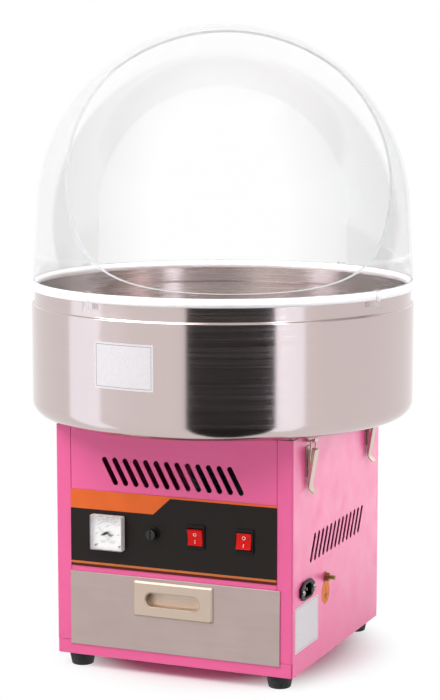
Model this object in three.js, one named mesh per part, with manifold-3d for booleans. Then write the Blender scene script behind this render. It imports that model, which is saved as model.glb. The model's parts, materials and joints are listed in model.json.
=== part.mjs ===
// Electric cotton candy machine, in millimetres.
// +Z is up, the front faces -Y, and the origin lies on the table under the middle of the bowl.
// A folded sheet cabinet carries a spun bowl, four toggle latches clamp the bowl down,
// and a motor under the deck turns the heated spinner head inside the bowl.

import * as THREE from 'three';
import { mergeVertices } from 'three/addons/utils/BufferGeometryUtils.js';
import Module from 'manifold-3d';

const wasm = await Module();
wasm.setup();

// Clearances
const SEAT_GAP = 0.3; // between faces that touch
const SIDE_GAP = 0.4; // around a moving piece in its opening
const HOLE_GAP = 0.3; // radial, round a pin or a barrel
const MERGE_DISTANCE = 1e-4;

// Feet
const FOOT_H = 17.7;
const FOOT_TOP_D = 30;
const FOOT_BOTTOM_D = 23;
const FOOT_SCREW_D = 9;
const FOOT_SCREW_DEPTH = 6;
const FOOT_INSET_X = 25.5;
const FOOT_INSET_Y = 22.5;
const FOOT_SIDES = 12;

// Cabinet
const CABINET_W = 333;
const CABINET_D = 341;
const CABINET_H = 308;
const SHEET_T = 1.2;
const BEND_R = 2.5;
const PAN_LIP_H = 19;
const FRONT_FLANGE_W = 21;
const REAR_FLANGE_W = 15;
const TOP_FLANGE_W = 14;
const PANEL_RETURN_D = 12;
const DECK_T = 2.4;
const DECK_CORNER_R = 6;
const DECK_SETBACK = 1;
const DECK_HOLE_R = 30;

// Front of the drawer and the sill over it, heights from the underside of the pan
const DRAWER_FRONT_H = 99;
const DRAWER_FRONT_T = 1.5;
const DRAWER_FRONT_Z = 14.7;
const DRAWER_FRONT_GAP = 2.3;
const FRONT_PANEL_SILL = DRAWER_FRONT_Z + DRAWER_FRONT_H + DRAWER_FRONT_GAP;

// Ventilation slots
const SLOT_COUNT = 13;
const SLOT_W = 5.4;
const SLOT_H = 34.5;
const SLOT_SLANT = 15.5;
const FRONT_SLOT_PITCH = 14.7;
const FRONT_SLOT_RISE = 10; // above the control panel sheet
const SIDE_SLOT_PITCH = 15.6;
const SIDE_SLOT_Y = -2;
const SIDE_SLOT_Z = 155.5;

// Control panel sheet and what is mounted in it
const OVERLAY_T = 0.8;
const OVERLAY_H = 102.5;
const OVERLAY_SILL_GAP = 4.95;
const OVERLAY_Z = FRONT_PANEL_SILL + OVERLAY_SILL_GAP + OVERLAY_H / 2;
const FRONT_SLOT_Z = OVERLAY_Z + OVERLAY_H / 2 + FRONT_SLOT_RISE + SLOT_H / 2;
const METER_X = -90;
const METER_RISE = -2.5; // from the middle of the sheet
const METER_Z = OVERLAY_Z + METER_RISE;
const METER_SIZE = 48;
const METER_FLANGE_T = 2;
const METER_BARREL_D = 38;
const METER_BARREL_L = 32;
const METER_COVER_D = 7.8;
const METER_COVER_T = 1.4;
const METER_DIAL_T = 0.6;
const METER_CORNER_R = 2;
const NEEDLE_L = 19;
const NEEDLE_W = 1.1;
const NEEDLE_T = 0.5;
const NEEDLE_HUB_D = 4.4;
const NEEDLE_HUB_L = 2.8;
const NEEDLE_DROP = 7;
const NEEDLE_REST_DEG = 42;
const FUSE_X = -26;
const FUSE_RISE = 0.8;
const FUSE_Z = OVERLAY_Z + FUSE_RISE;
const FUSE_FLANGE_D = 17;
const FUSE_FLANGE_T = 2;
const FUSE_BARREL_D = 12;
const FUSE_BARREL_L = 28;
const FUSE_WALL = 1.2;
const FUSE_BORE_D = FUSE_BARREL_D - 2 * FUSE_WALL;
const FUSE_BORE_DEPTH = 20;
const FUSE_CAP_INSET = 1.7;
const FUSE_CAP_D = FUSE_FLANGE_D - 2 * FUSE_CAP_INSET;
const FUSE_CAP_L = 7.5;
const FUSE_CAP_SLOT_W = 1.8;
const FUSE_CAP_SLOT_DEPTH = 1.5;
const FUSE_STEM_L = 12;
const HEAT_SWITCH_X = 34;
const POWER_SWITCH_X = 101.5;
const SWITCH_RISE = 1.8;
const SWITCH_Z = OVERLAY_Z + SWITCH_RISE;
const SWITCH_BODY_W = 23.4;
const SWITCH_BODY_H = 28.6;
const BEZEL_LAP = 1.15;
const BEZEL_W = SWITCH_BODY_W + 2 * BEZEL_LAP;
const BEZEL_H = SWITCH_BODY_H + 2 * BEZEL_LAP;
const BEZEL_T = 2;
const BEZEL_CORNER_R = 1.5;
const SWITCH_BODY_D = 24;
const SWITCH_CAVITY_D = 12;
const SWITCH_WALL = 1.1;
const ROCKER_W = SWITCH_BODY_W - 2 * (SWITCH_WALL + SIDE_GAP);
const ROCKER_END_GAP = 2.3;
const ROCKER_H = SWITCH_BODY_H - 2 * ROCKER_END_GAP;
const ROCKER_STANDOUT = 2.6;
const ROCKER_DIP = 1.6;
const ROCKER_SKIRT = 7;
const ROCKER_PIVOT_D = 3;
const ROCKER_TILT_DEG = 7;

// Drawer
const DRAWER_SIDE_GAP = 4.5; // between the box and the front flanges
const DRAWER_BOX_W = CABINET_W - 2 * (FRONT_FLANGE_W + DRAWER_SIDE_GAP);
const DRAWER_FRONT_LAP = 7;
const DRAWER_FRONT_W = DRAWER_BOX_W + 2 * DRAWER_FRONT_LAP;
const DRAWER_SHIFT_X = 2;
const DRAWER_REAR_GAP = 53;
const DRAWER_BOX_L = CABINET_D - DRAWER_REAR_GAP;
const DRAWER_BOX_DROP = 18;
const DRAWER_BOX_H = DRAWER_FRONT_H - DRAWER_BOX_DROP;
const DRAWER_BOX_T = 1.2;
const RUNNER_LEDGE_W = 30;
const RUNNER_H = 22;
const RUNNER_T = 1.5;
const RUNNER_REAR_GAP = 37.3;
const RUNNER_L = CABINET_D - SHEET_T - BEND_R - RUNNER_REAR_GAP;
const PULL_W = 112;
const PULL_H = 47;
const PULL_T = 3.2;
const PULL_BEVEL = 1.6;
const PULL_CORNER_R = 2;
const PULL_DROP = 28.2; // its middle, below the top of the drawer's front
const PULL_Z = DRAWER_FRONT_Z + DRAWER_FRONT_H - PULL_DROP;
const PULL_MARGIN = 18;
const RECESS_W = PULL_W - 2 * PULL_MARGIN;
const RECESS_H = 18;
const RECESS_D = 13;
const RECESS_WALL = 1.2;

// Mains inlet and earth screw on the right side panel
const INLET_INSET = 49.5;
const INLET_Y = INLET_INSET - CABINET_D / 2;
const INLET_Z = 106;
const INLET_BODY_W = 27.4;
const INLET_BODY_H = 20.4;
const INLET_BODY_D = 24;
const INLET_EAR_W = 11.3;
const INLET_EAR_H = 11;
const INLET_LAP = 1.8;
const INLET_FLANGE_W = INLET_BODY_W + 2 * INLET_EAR_W;
const INLET_FLANGE_H = INLET_BODY_H + 2 * INLET_LAP;
const INLET_FLANGE_T = 3;
const INLET_WALL = 1.7;
const INLET_SOCKET_W = INLET_BODY_W - 2 * INLET_WALL;
const INLET_SOCKET_H = INLET_BODY_H - 2 * INLET_WALL;
const INLET_SOCKET_D = 17;
const INLET_KEY = 4;
const PIN_W = 2;
const PIN_H = 4;
const PIN_L = 13;
const PIN_PITCH = 7;
const PIN_RISE = 2.9;
const EARTH_PITCH = 73; // from the inlet
const EARTH_Y = INLET_Y + EARTH_PITCH;
const EARTH_Z = INLET_Z;
const EARTH_STUD_D = 6;
const EARTH_STUD_L = 14;
const EARTH_NUT_AF = 10;
const EARTH_NUT_H = 5;
const EARTH_NUT_SINK = 0.3; // into the washer it is one piece with
const EARTH_WASHER_D = 14;
const EARTH_WASHER_T = 1.2;
const EARTH_TAIL_L = 9;

// Bowl
const BOWL_R = 256;
const BOWL_H = 180;
const BOWL_T = 1.2;
const BOWL_CORNER_R = 35;
const NECK_INSET = 3.5;
const NECK_R = BOWL_R - NECK_INSET;
const SHOULDER_BELOW_RIM = 32;
const SHOULDER_H = 3.5;
const BEAD_R = 5.8;
const BEAD_SHIFT = 1.7; // the bead's centre, outside the neck
const BEAD_CENTRE_R = NECK_R + BEAD_SHIFT;
const COLLAR_R = 20;
const COLLAR_H = 15;
const BOWL_SIDES = 36;

// Dome, measured from its own foot
const DOME_FOOT_SHIFT = 0.8; // the foot's outside, beyond the middle of the bead
const DOME_FOOT_R = BEAD_CENTRE_R + DOME_FOOT_SHIFT;
const DOME_TAPER = 5.5;
const DOME_SKIRT_R = DOME_FOOT_R - DOME_TAPER;
const DOME_SKIRT_H = 87.3;
const DOME_CROWN_H = 250.5;
const DOME_T = 3;
const DOME_SIDES = 36;
const DOME_TURN_DEG = 26.5;
const MOUTH_TOP_F = 68; // distance of the cut in front of the axis
const MOUTH_BEND_Z = 278;
const MOUTH_LOW_F = 148;
const MOUTH_LOW_Z = 83;
const MOUTH_CURVE_F = 180;
const MOUTH_CURVE_Z = 17;
const MOUTH_FOOT_Z = 5;
const CLIP_W = 9.5;
const CLIP_T = 2.1;
const CLIP_DROP = 12;
const CLIP_RISE = 12;
const CLIP_FIRST_DEG = 45;

// Toggle latches, measured from the lever's pivot
const LATCH_INSET = 52.5;
const LATCH_Y = CABINET_D / 2 - LATCH_INSET;
const LATCH_DROP = 23; // the pivot, below the top of the cabinet
const LATCH_Z = CABINET_H - LATCH_DROP;
const LATCH_STANDOUT = 8;
const LATCH_PLATE_W = 18;
const LATCH_PLATE_T = 1.2;
const LATCH_PLATE_UP = 8;
const LATCH_PLATE_DOWN = 30;
const CHEEK_T = 1;
const CHEEK_HALF = 5.7;
const CHEEK_TOP = 2.6;
const CHEEK_DROP = 24;
const LEVER_WALL = 1;
const LEVER_HALF = CHEEK_HALF + SIDE_GAP + LEVER_WALL;
const LEVER_WEB_T = 1.2;
const LEVER_L = 44;
const LEVER_TOP = 4.5;
const LEVER_TOP_OUT = 5;
const LEVER_TOP_IN = -4;
const LEVER_LOW_OUT = -3.2;
const LEVER_LOW_IN = -5.2;
const LIP_OUT = 3;
const LIP_DROP = 8;
const LIP_T = 1;
const LEVER_HEEL = 4;
const PIVOT_R = 1.5;
const PIN_INSET = 0.1;
const BAIL_WIRE_R = 1.1;
const BAIL_OUTSIDE = 1.7;
const BAIL_HALF = LEVER_HALF + BAIL_OUTSIDE;
const BAIL_SIDES = 8;
const BAIL_PIVOT_IN = 1.5;
const BAIL_PIVOT_DROP = 10;
const BAIL_BAR_Z = 17;
const BAIL_BEND = 3;
const CATCH_SIDE_GAP = 1.7;
const CATCH_HALF = BAIL_HALF - BAIL_WIRE_R - CATCH_SIDE_GAP;
const CATCH_T = 1.2;
const CATCH_IN = 0.7;
const CATCH_LIP_OUT = 3.1;
const CATCH_LIP_RISE = 4;

// Motor, brush gear and spinner head, heights from the underside of the bowl
const MOTOR_PLATE_DROP = 62;
const MOTOR_PLATE_T = 2.5;
const MOTOR_PLATE_W = 130;
const MOTOR_PLATE_D = 100;
const POST_D = 10;
const POST_INSET = 13;
const MOTOR_D = 86;
const MOTOR_H = 98;
const MOTOR_BELL_H = 16;
const MOTOR_EDGE = 4;
const MOTOR_RIB = 2;
const MOTOR_BOSS_D = 30;
const MOTOR_BOSS_H = 2;
const SHAFT_D = 12;
const SHAFT_SINK = 14;
const SLIP_RING_D = 32;
const SLIP_RING_T = 8;
const SLIP_RING_PITCH = 16;
const SLIP_RING_LIFT = 9;
const BRUSH_GAP = 0.4;
const BRUSH_T = 5;
const BRUSH_W = 7;
const BRUSH_L = 8;
const BRUSH_BLOCK_W = 18;
const BRUSH_BLOCK_D = 22;
const BRUSH_BLOCK_H = 36;
const HEAD_Z = 36;
const HEAD_R = 67;
const HEAD_DISC_T = 2.5;
const HEAD_HUB_R = 13;
const HEAD_HUB_DROP = 14;
const HEAD_HUB_TOP = 15;
const HUB_ROOF_T = 3;
const HUB_FLARE = 4;
const SPREADER_H = 7;
const LEDGE_IN_R = 49;
const LEDGE_H = 6;
const RING_T = 1.5;
const RING_INSET = 2;
const RING_H = 40;
const RING_SLOTS = 20;
const RING_SLOT_W = 3;
const RING_SLOT_MARGIN = 6;
const ELEMENT_MEAN_R = 55;
const ELEMENT_WAVE = 3.4;
const ELEMENT_WAVES = 10;
const ELEMENT_T = 1.4;
const ELEMENT_H = 28;
const CAP_T = 2;
const CAP_SKIRT_H = 6;
const CAP_RISE = 8;
const CAP_NECK_R = 27;
const CAP_NECK_H = 10;
const HEAD_SIDES = 2 * RING_SLOTS;

// Facets on half a turn
const SLOT_FACETS = 2;
const ROUND_FACETS = 10;
const ROUND_SIDES = 2 * ROUND_FACETS;

// Levels and planes that follow from the sizes above
const PAN_Z = FOOT_H + SEAT_GAP;
const CABINET_TOP = PAN_Z + CABINET_H;
const DECK_Z = CABINET_TOP + SEAT_GAP;
const BOWL_Z = DECK_Z + DECK_T + SEAT_GAP;
const RIM_Z = BOWL_Z + BOWL_H;
const DOME_Z = RIM_Z + SEAT_GAP;
const SIDE_X = CABINET_W / 2;
const FRONT_Y = -CABINET_D / 2;
const REAR_Y = CABINET_D / 2;
const OVERLAY_FACE_Y = FRONT_Y - SEAT_GAP - OVERLAY_T;
const DEVICE_Y = OVERLAY_FACE_Y - SEAT_GAP;
const MOTOR_PLATE_Z = BOWL_Z - MOTOR_PLATE_DROP;
const HEAD_BASE_Z = BOWL_Z + HEAD_Z;

// Materials
const finish = (color, roughness, metalness, opacity = 1) => new THREE.MeshStandardMaterial({
  color, roughness, metalness, opacity, transparent: opacity < 1,
});
const PINK_COAT = finish(0xe97fae, 0.45, 0.1);
const BRUSHED_STEEL = finish(0xbbb2ac, 0.35, 0.9);
const POLISHED_STEEL = finish(0xc9c4bf, 0.18, 1);
const ZINC_STEEL = finish(0xb9b4a8, 0.4, 0.9);
const NICKEL = finish(0xcdbfab, 0.3, 0.9);
const BLACK_SHEET = finish(0x2d2824, 0.5, 0);
const BLACK_PLASTIC = finish(0x1b1a1a, 0.4, 0);
const WHITE_PLASTIC = finish(0xf2f2ee, 0.4, 0);
const RED_PLASTIC = finish(0xd8261c, 0.3, 0);
const BLACK_RUBBER = finish(0x191817, 0.8, 0);
const CLEAR_ACRYLIC = finish(0xf4f6f6, 0.05, 0, 0.25);
const MOTOR_PAINT = finish(0x3a3d40, 0.5, 0.3);
const ALUMINIUM = finish(0xc8c9ca, 0.35, 0.9);
const BRASS = finish(0xb08b4a, 0.35, 0.9);
const NICHROME = finish(0x6b6259, 0.5, 0.8);

// Geometry helpers

// A closed mesh with shared corners and its faces pointing out.
function closedMesh(source) {
  const bare = source.clone();
  bare.deleteAttribute('normal');
  bare.deleteAttribute('uv');
  const merged = mergeVertices(bare, MERGE_DISTANCE);
  const at = merged.attributes.position;
  const corners = [new THREE.Vector3(), new THREE.Vector3(), new THREE.Vector3()];
  const faces = [];
  let volume = 0;
  for (let i = 0; i < merged.index.count; i += 3) {
    const face = [0, 1, 2].map((k) => merged.index.getX(i + k));
    if (new Set(face).size < 3) continue;
    face.forEach((vertex, k) => corners[k].fromBufferAttribute(at, vertex));
    volume += corners[0].dot(corners[1].clone().cross(corners[2]));
    faces.push(face);
  }
  if (volume < 0) faces.forEach((face) => face.reverse());
  merged.setIndex(faces.flat());
  return merged;
}

function solid(geometry) {
  const mesh = closedMesh(geometry);
  return new wasm.Manifold(new wasm.Mesh({
    numProp: 3,
    vertProperties: new Float32Array(mesh.attributes.position.array),
    triVerts: new Uint32Array(mesh.index.array),
  }));
}

function geometryOf(body) {
  const { vertProperties, triVerts } = body.getMesh();
  const geometry = new THREE.BufferGeometry();
  geometry.setAttribute('position', new THREE.BufferAttribute(vertProperties, 3));
  geometry.setIndex(new THREE.BufferAttribute(triVerts, 1));
  geometry.computeVertexNormals();
  return geometry;
}

function join(first, ...others) {
  return geometryOf(others.reduce((body, other) => body.add(solid(other)), solid(first)));
}

function cut(first, ...cutters) {
  return geometryOf(cutters.reduce((body, cutter) => body.subtract(solid(cutter)), solid(first)));
}

function box(x0, x1, y0, y1, z0, z1) {
  const geometry = new THREE.BoxGeometry(x1 - x0, y1 - y0, z1 - z0);
  return geometry.translate((x0 + x1) / 2, (y0 + y1) / 2, (z0 + z1) / 2);
}

function extrudeZ(shape, z0, z1, curveSegments = 4) {
  const options = { depth: z1 - z0, bevelEnabled: false, curveSegments };
  return new THREE.ExtrudeGeometry(shape, options).translate(0, 0, z0);
}

// The shape's x and y become the model's x and z.
function extrudeY(shape, y0, y1, curveSegments = 4) {
  return extrudeZ(shape, -y1, -y0, curveSegments).rotateX(Math.PI / 2);
}

// The shape's x and y become the model's y and z.
function extrudeX(shape, x0, x1, curveSegments = 4) {
  return extrudeZ(shape, x0, x1, curveSegments).rotateX(Math.PI / 2).rotateZ(Math.PI / 2);
}

// A solid of revolution about Z from [radius, height] pairs.
function revolve(points, sides = 24) {
  const profile = points.map(([r, z]) => new THREE.Vector2(r, z));
  return new THREE.LatheGeometry(profile, sides).rotateX(Math.PI / 2);
}

function revolveClosed(points, sides) {
  return revolve([...points, points[0]], sides);
}

function outline(points) {
  return new THREE.Shape(points.map(([x, y]) => new THREE.Vector2(x, y)));
}

function roundedRect(w, h, r, cx = 0, cy = 0) {
  const shape = new THREE.Shape();
  const turn = Math.PI / 2;
  shape.absarc(cx + w / 2 - r, cy - h / 2 + r, r, -turn, 0, false);
  shape.absarc(cx + w / 2 - r, cy + h / 2 - r, r, 0, turn, false);
  shape.absarc(cx - w / 2 + r, cy + h / 2 - r, r, turn, 2 * turn, false);
  shape.absarc(cx - w / 2 + r, cy - h / 2 + r, r, 2 * turn, 3 * turn, false);
  return shape;
}

function rect(w, h, cx = 0, cy = 0) {
  const [left, right] = [cx - w / 2, cx + w / 2];
  const [low, high] = [cy - h / 2, cy + h / 2];
  return outline([[left, low], [right, low], [right, high], [left, high]]);
}

function disc(r, cx = 0, cy = 0) {
  return new THREE.Shape().absarc(cx, cy, r, 0, 2 * Math.PI, false);
}

// A slot with round ends between two centres.
function slotShape(ax, ay, bx, by, r) {
  const heading = Math.atan2(by - ay, bx - ax);
  const shape = new THREE.Shape();
  shape.absarc(bx, by, r, heading - Math.PI / 2, heading + Math.PI / 2, false);
  shape.absarc(ax, ay, r, heading + Math.PI / 2, heading + 1.5 * Math.PI, false);
  return shape;
}

// A round wire through points of one plane, mitred at its corners.
function wire(points, normal, r, sides) {
  const position = points.flatMap((point, i) => {
    const before = point.clone().sub(points[Math.max(i - 1, 0)]).normalize();
    const after = points[Math.min(i + 1, points.length - 1)].clone().sub(point).normalize();
    const along = before.clone().add(after).normalize();
    const stretch = 1 / Math.max(along.dot(before), along.dot(after));
    const across = along.cross(normal);
    return Array.from({ length: sides }, (_, k) => {
      const angle = (2 * Math.PI * k) / sides;
      return point.clone().addScaledVector(across, r * stretch * Math.cos(angle))
        .addScaledVector(normal, r * Math.sin(angle)).toArray();
    });
  });
  const last = (points.length - 1) * sides;
  const faces = [];
  for (let k = 0; k < sides; k += 1) {
    const next = (k + 1) % sides;
    faces.push(0, next, k, last, last + k, last + next);
    for (let row = 0; row < last; row += sides) {
      faces.push(row + k, row + next, row + sides + k);
      faces.push(row + next, row + sides + next, row + sides + k);
    }
  }
  const geometry = new THREE.BufferGeometry();
  geometry.setAttribute('position', new THREE.Float32BufferAttribute(position.flat(), 3));
  geometry.setIndex(faces);
  return closedMesh(geometry);
}

// Points on an arc of a profile, from one angle to another in degrees.
function arcPoints(cr, cz, r, from, to, steps) {
  return Array.from({ length: steps + 1 }, (_, i) => {
    const angle = THREE.MathUtils.degToRad(from + (to - from) * (i / steps));
    return [cr + r * Math.cos(angle), cz + r * Math.sin(angle)];
  });
}

const machine = new THREE.Group();

function place(name, geometry, material, parent = machine) {
  const mesh = new THREE.Mesh(geometry, material);
  mesh.name = name;
  parent.add(mesh);
  return mesh;
}

// Row of slanted slots about a centre; lean is +1 for tops to the right, -1 for tops to the left.
function slotRow(centre, pitch, middleZ, lean) {
  const reach = (SLOT_H - SLOT_W) / 2;
  const slant = (lean * SLOT_SLANT) / 2;
  return Array.from({ length: SLOT_COUNT }, (_, i) => {
    const at = centre + (i - (SLOT_COUNT - 1) / 2) * pitch;
    return slotShape(at - slant, middleZ - reach, at + slant, middleZ + reach, SLOT_W / 2);
  });
}

// Feet

function addFeet() {
  const top = FOOT_TOP_D / 2;
  const bottom = FOOT_BOTTOM_D / 2;
  const screw = FOOT_SCREW_D / 2;
  const edge = 1.2;
  const profile = [
    [0, FOOT_SCREW_DEPTH], [screw, FOOT_SCREW_DEPTH], [screw, 0], [bottom - edge, 0],
    [bottom, edge], [top, FOOT_H - edge], [top - edge, FOOT_H], [0, FOOT_H],
  ];
  for (const [end, sy] of [['front', -1], ['rear', 1]]) {
    for (const [side, sx] of [['left', -1], ['right', 1]]) {
      const foot = place(`foot_${end}_${side}`, closedMesh(revolve(profile, FOOT_SIDES)), BLACK_RUBBER);
      foot.position.set(sx * (SIDE_X - FOOT_INSET_X), sy * (REAR_Y - FOOT_INSET_Y), 0);
    }
  }
}

// Cabinet

function addBasePan() {
  const half = SIDE_X - SHEET_T - SEAT_GAP;
  const outer = box(-half, half, FRONT_Y, REAR_Y, PAN_Z, PAN_Z + PAN_LIP_H);
  const inner = box(-half + SHEET_T, half - SHEET_T, FRONT_Y + SHEET_T, REAR_Y - SHEET_T,
    PAN_Z + SHEET_T, PAN_Z + PAN_LIP_H + 1);
  place('base_pan', cut(outer, inner), PINK_COAT);
}

// One sheet folded round the side: front flange, wall, rear flange and a top flange.
function sidePanel(side) {
  const x = (inset) => side * (SIDE_X - inset);
  const shape = new THREE.Shape();
  const corner = (inset, y, r, from, to) => arcPoints(SIDE_X - inset, y, r, from, to, 2)
    .forEach(([px, py]) => shape.lineTo(side * px, py));
  const inside = BEND_R - SHEET_T;
  shape.moveTo(x(FRONT_FLANGE_W), FRONT_Y);
  corner(BEND_R, FRONT_Y + BEND_R, BEND_R, -90, 0);
  corner(BEND_R, REAR_Y - BEND_R, BEND_R, 0, 90);
  shape.lineTo(x(REAR_FLANGE_W), REAR_Y);
  shape.lineTo(x(REAR_FLANGE_W), REAR_Y - SHEET_T);
  corner(BEND_R, REAR_Y - BEND_R, inside, 90, 0);
  corner(BEND_R, FRONT_Y + BEND_R, inside, 0, -90);
  shape.lineTo(x(FRONT_FLANGE_W), FRONT_Y + SHEET_T);
  const folded = extrudeZ(shape, PAN_Z, CABINET_TOP);

  const topFlange = roundedRect(TOP_FLANGE_W, CABINET_D - 2 * SHEET_T, SHEET_T / 2,
    side * (SIDE_X - SHEET_T / 2 - TOP_FLANGE_W / 2), 0);
  const flanged = join(folded, extrudeZ(topFlange, CABINET_TOP - SHEET_T, CABINET_TOP, 1));

  const notchTop = PAN_Z + PAN_LIP_H + SEAT_GAP;
  const notchX = [x(SHEET_T), x(FRONT_FLANGE_W + 1)].sort((a, b) => a - b);
  const notches = [FRONT_Y, REAR_Y].map((y) => box(notchX[0], notchX[1],
    y - BEND_R, y + BEND_R, PAN_Z - 1, notchTop));
  const wall = [SIDE_X - BEND_R - 1, SIDE_X + 1].map((depth) => side * depth).sort((a, b) => a - b);
  const slots = slotRow(SIDE_SLOT_Y, SIDE_SLOT_PITCH, PAN_Z + SIDE_SLOT_Z, 1);
  const openings = slots.map((shape) => extrudeX(shape, wall[0], wall[1], SLOT_FACETS));
  if (side > 0) {
    const inletW = INLET_BODY_W + 2 * SEAT_GAP;
    const inletH = INLET_BODY_H + 2 * SEAT_GAP;
    const holes = [
      rect(inletW, inletH, INLET_Y, PAN_Z + INLET_Z),
      disc(EARTH_STUD_D / 2 + HOLE_GAP, EARTH_Y, PAN_Z + EARTH_Z),
    ];
    openings.push(...holes.map((shape) => extrudeX(shape, wall[0], wall[1], ROUND_FACETS)));
  }
  return cut(flanged, ...notches, ...openings);
}

// Outlines of the holes that the panel and the printed sheet share.
function controlOpenings() {
  const holeW = SWITCH_BODY_W + 2 * SEAT_GAP;
  const holeH = SWITCH_BODY_H + 2 * SEAT_GAP;
  const switchHole = (x) => rect(holeW, holeH, x, PAN_Z + SWITCH_Z);
  return [
    disc(METER_BARREL_D / 2 + HOLE_GAP, METER_X, PAN_Z + METER_Z),
    disc(FUSE_BARREL_D / 2 + HOLE_GAP, FUSE_X, PAN_Z + FUSE_Z),
    switchHole(HEAT_SWITCH_X),
    switchHole(POWER_SWITCH_X),
  ];
}

function trayPanel(half, z0, z1, faceY, inward) {
  const back = faceY + inward * PANEL_RETURN_D;
  const floor = faceY + inward * SHEET_T;
  const past = back + inward;
  const outer = box(-half, half, Math.min(faceY, back), Math.max(faceY, back), z0, z1);
  const inner = box(-half + SHEET_T, half - SHEET_T, Math.min(floor, past), Math.max(floor, past),
    z0 + SHEET_T, z1 - SHEET_T);
  return cut(outer, inner);
}

function addPanels() {
  place('left_side_panel', sidePanel(-1), PINK_COAT);
  place('right_side_panel', sidePanel(1), PINK_COAT);

  const frontHalf = SIDE_X - FRONT_FLANGE_W - SEAT_GAP;
  const frontTray = trayPanel(frontHalf, PAN_Z + FRONT_PANEL_SILL, CABINET_TOP, FRONT_Y, 1);
  const through = (shape, facets) => extrudeY(shape, FRONT_Y - 1, FRONT_Y + SHEET_T + 1, facets);
  const slots = slotRow(0, FRONT_SLOT_PITCH, PAN_Z + FRONT_SLOT_Z, -1);
  place('front_panel', cut(
    frontTray,
    ...slots.map((shape) => through(shape, SLOT_FACETS)),
    ...controlOpenings().map((shape) => through(shape, ROUND_FACETS)),
  ), PINK_COAT);

  const low = PAN_Z + OVERLAY_Z - OVERLAY_H / 2;
  place('control_overlay', cut(
    box(-frontHalf, frontHalf, OVERLAY_FACE_Y, OVERLAY_FACE_Y + OVERLAY_T, low, low + OVERLAY_H),
    ...controlOpenings().map((shape) => extrudeY(shape, OVERLAY_FACE_Y - 1, FRONT_Y, ROUND_FACETS)),
  ), BLACK_SHEET);

  const rearHalf = SIDE_X - REAR_FLANGE_W - SEAT_GAP;
  place('rear_panel', trayPanel(rearHalf, PAN_Z + PAN_LIP_H + SEAT_GAP, CABINET_TOP, REAR_Y, -1),
    PINK_COAT);

  const deck = roundedRect(CABINET_W - 2 * DECK_SETBACK, CABINET_D - 2 * DECK_SETBACK, DECK_CORNER_R);
  const deckHole = extrudeZ(disc(DECK_HOLE_R), DECK_Z - 1, DECK_Z + DECK_T + 1, ROUND_FACETS);
  place('top_deck', cut(extrudeZ(deck, DECK_Z, DECK_Z + DECK_T), deckHole), ZINC_STEEL);
}

// Drawer

function addDrawer() {
  const drawer = new THREE.Group();
  drawer.position.set(DRAWER_SHIFT_X, 0, PAN_Z);
  machine.add(drawer);
  const backY = FRONT_Y - SEAT_GAP;
  const faceY = backY - DRAWER_FRONT_T;
  const cupReach = RECESS_H / 2 + RECESS_WALL;
  const cupCentre = RECESS_W / 2 - RECESS_H / 2;
  const pullSlot = (r) => slotShape(-cupCentre, PULL_Z, cupCentre, PULL_Z, r);

  const half = DRAWER_FRONT_W / 2;
  const plate = box(-half, half, faceY, backY, DRAWER_FRONT_Z, DRAWER_FRONT_Z + DRAWER_FRONT_H);
  const opening = extrudeY(pullSlot(cupReach + HOLE_GAP), faceY - 1, FRONT_Y + DRAWER_BOX_T + 1, 6);
  place('drawer_front', cut(plate, opening), BRUSHED_STEEL, drawer);

  const runnerTop = PAN_LIP_H + SEAT_GAP + RUNNER_T;
  const boxZ = runnerTop + SEAT_GAP;
  const boxHalf = DRAWER_BOX_W / 2;
  const outer = box(-boxHalf - DRAWER_SHIFT_X, boxHalf - DRAWER_SHIFT_X, FRONT_Y, FRONT_Y + DRAWER_BOX_L,
    boxZ, boxZ + DRAWER_BOX_H);
  const inner = box(-boxHalf - DRAWER_SHIFT_X + DRAWER_BOX_T, boxHalf - DRAWER_SHIFT_X - DRAWER_BOX_T,
    FRONT_Y + DRAWER_BOX_T, FRONT_Y + DRAWER_BOX_L - DRAWER_BOX_T,
    boxZ + DRAWER_BOX_T, boxZ + DRAWER_BOX_H + 1);
  place('drawer_box', cut(outer, inner, opening), BRUSHED_STEEL, drawer);

  const pullBack = faceY - SEAT_GAP;
  const pullFace = pullBack - PULL_T;
  const bezel = new THREE.ExtrudeGeometry(
    roundedRect(PULL_W - 2 * PULL_BEVEL, PULL_H - 2 * PULL_BEVEL, PULL_CORNER_R, 0, PULL_Z),
    { depth: PULL_T - PULL_BEVEL, bevelThickness: PULL_BEVEL, bevelSize: PULL_BEVEL, bevelSegments: 1,
      curveSegments: 3 },
  ).rotateX(Math.PI / 2).translate(0, pullBack, 0);
  const behind = box(-PULL_W, PULL_W, pullBack, pullBack + PULL_T, PULL_Z - PULL_H, PULL_Z + PULL_H);
  const cup = extrudeY(pullSlot(cupReach), pullFace + PULL_T / 2, pullFace + RECESS_D + RECESS_WALL, 6);
  const recess = extrudeY(pullSlot(RECESS_H / 2), pullFace - 1, pullFace + RECESS_D, 6);
  place('drawer_pull', cut(join(cut(bezel, behind), cup), recess), NICKEL, drawer);
}

function addRunners() {
  for (const [side, sign] of [['left', -1], ['right', 1]]) {
    const wallX = SIDE_X - SHEET_T - SEAT_GAP;
    const low = PAN_Z + PAN_LIP_H + SEAT_GAP;
    const shape = outline([
      [sign * wallX, low], [sign * wallX, low + RUNNER_H], [sign * (wallX - RUNNER_T), low + RUNNER_H],
      [sign * (wallX - RUNNER_T), low + RUNNER_T], [sign * (wallX - RUNNER_LEDGE_W), low + RUNNER_T],
      [sign * (wallX - RUNNER_LEDGE_W), low],
    ]);
    const start = FRONT_Y + SHEET_T + BEND_R;
    place(`drawer_runner_${side}`, closedMesh(extrudeY(shape, start, start + RUNNER_L)), ZINC_STEEL);
  }
}

// Control panel devices

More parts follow.
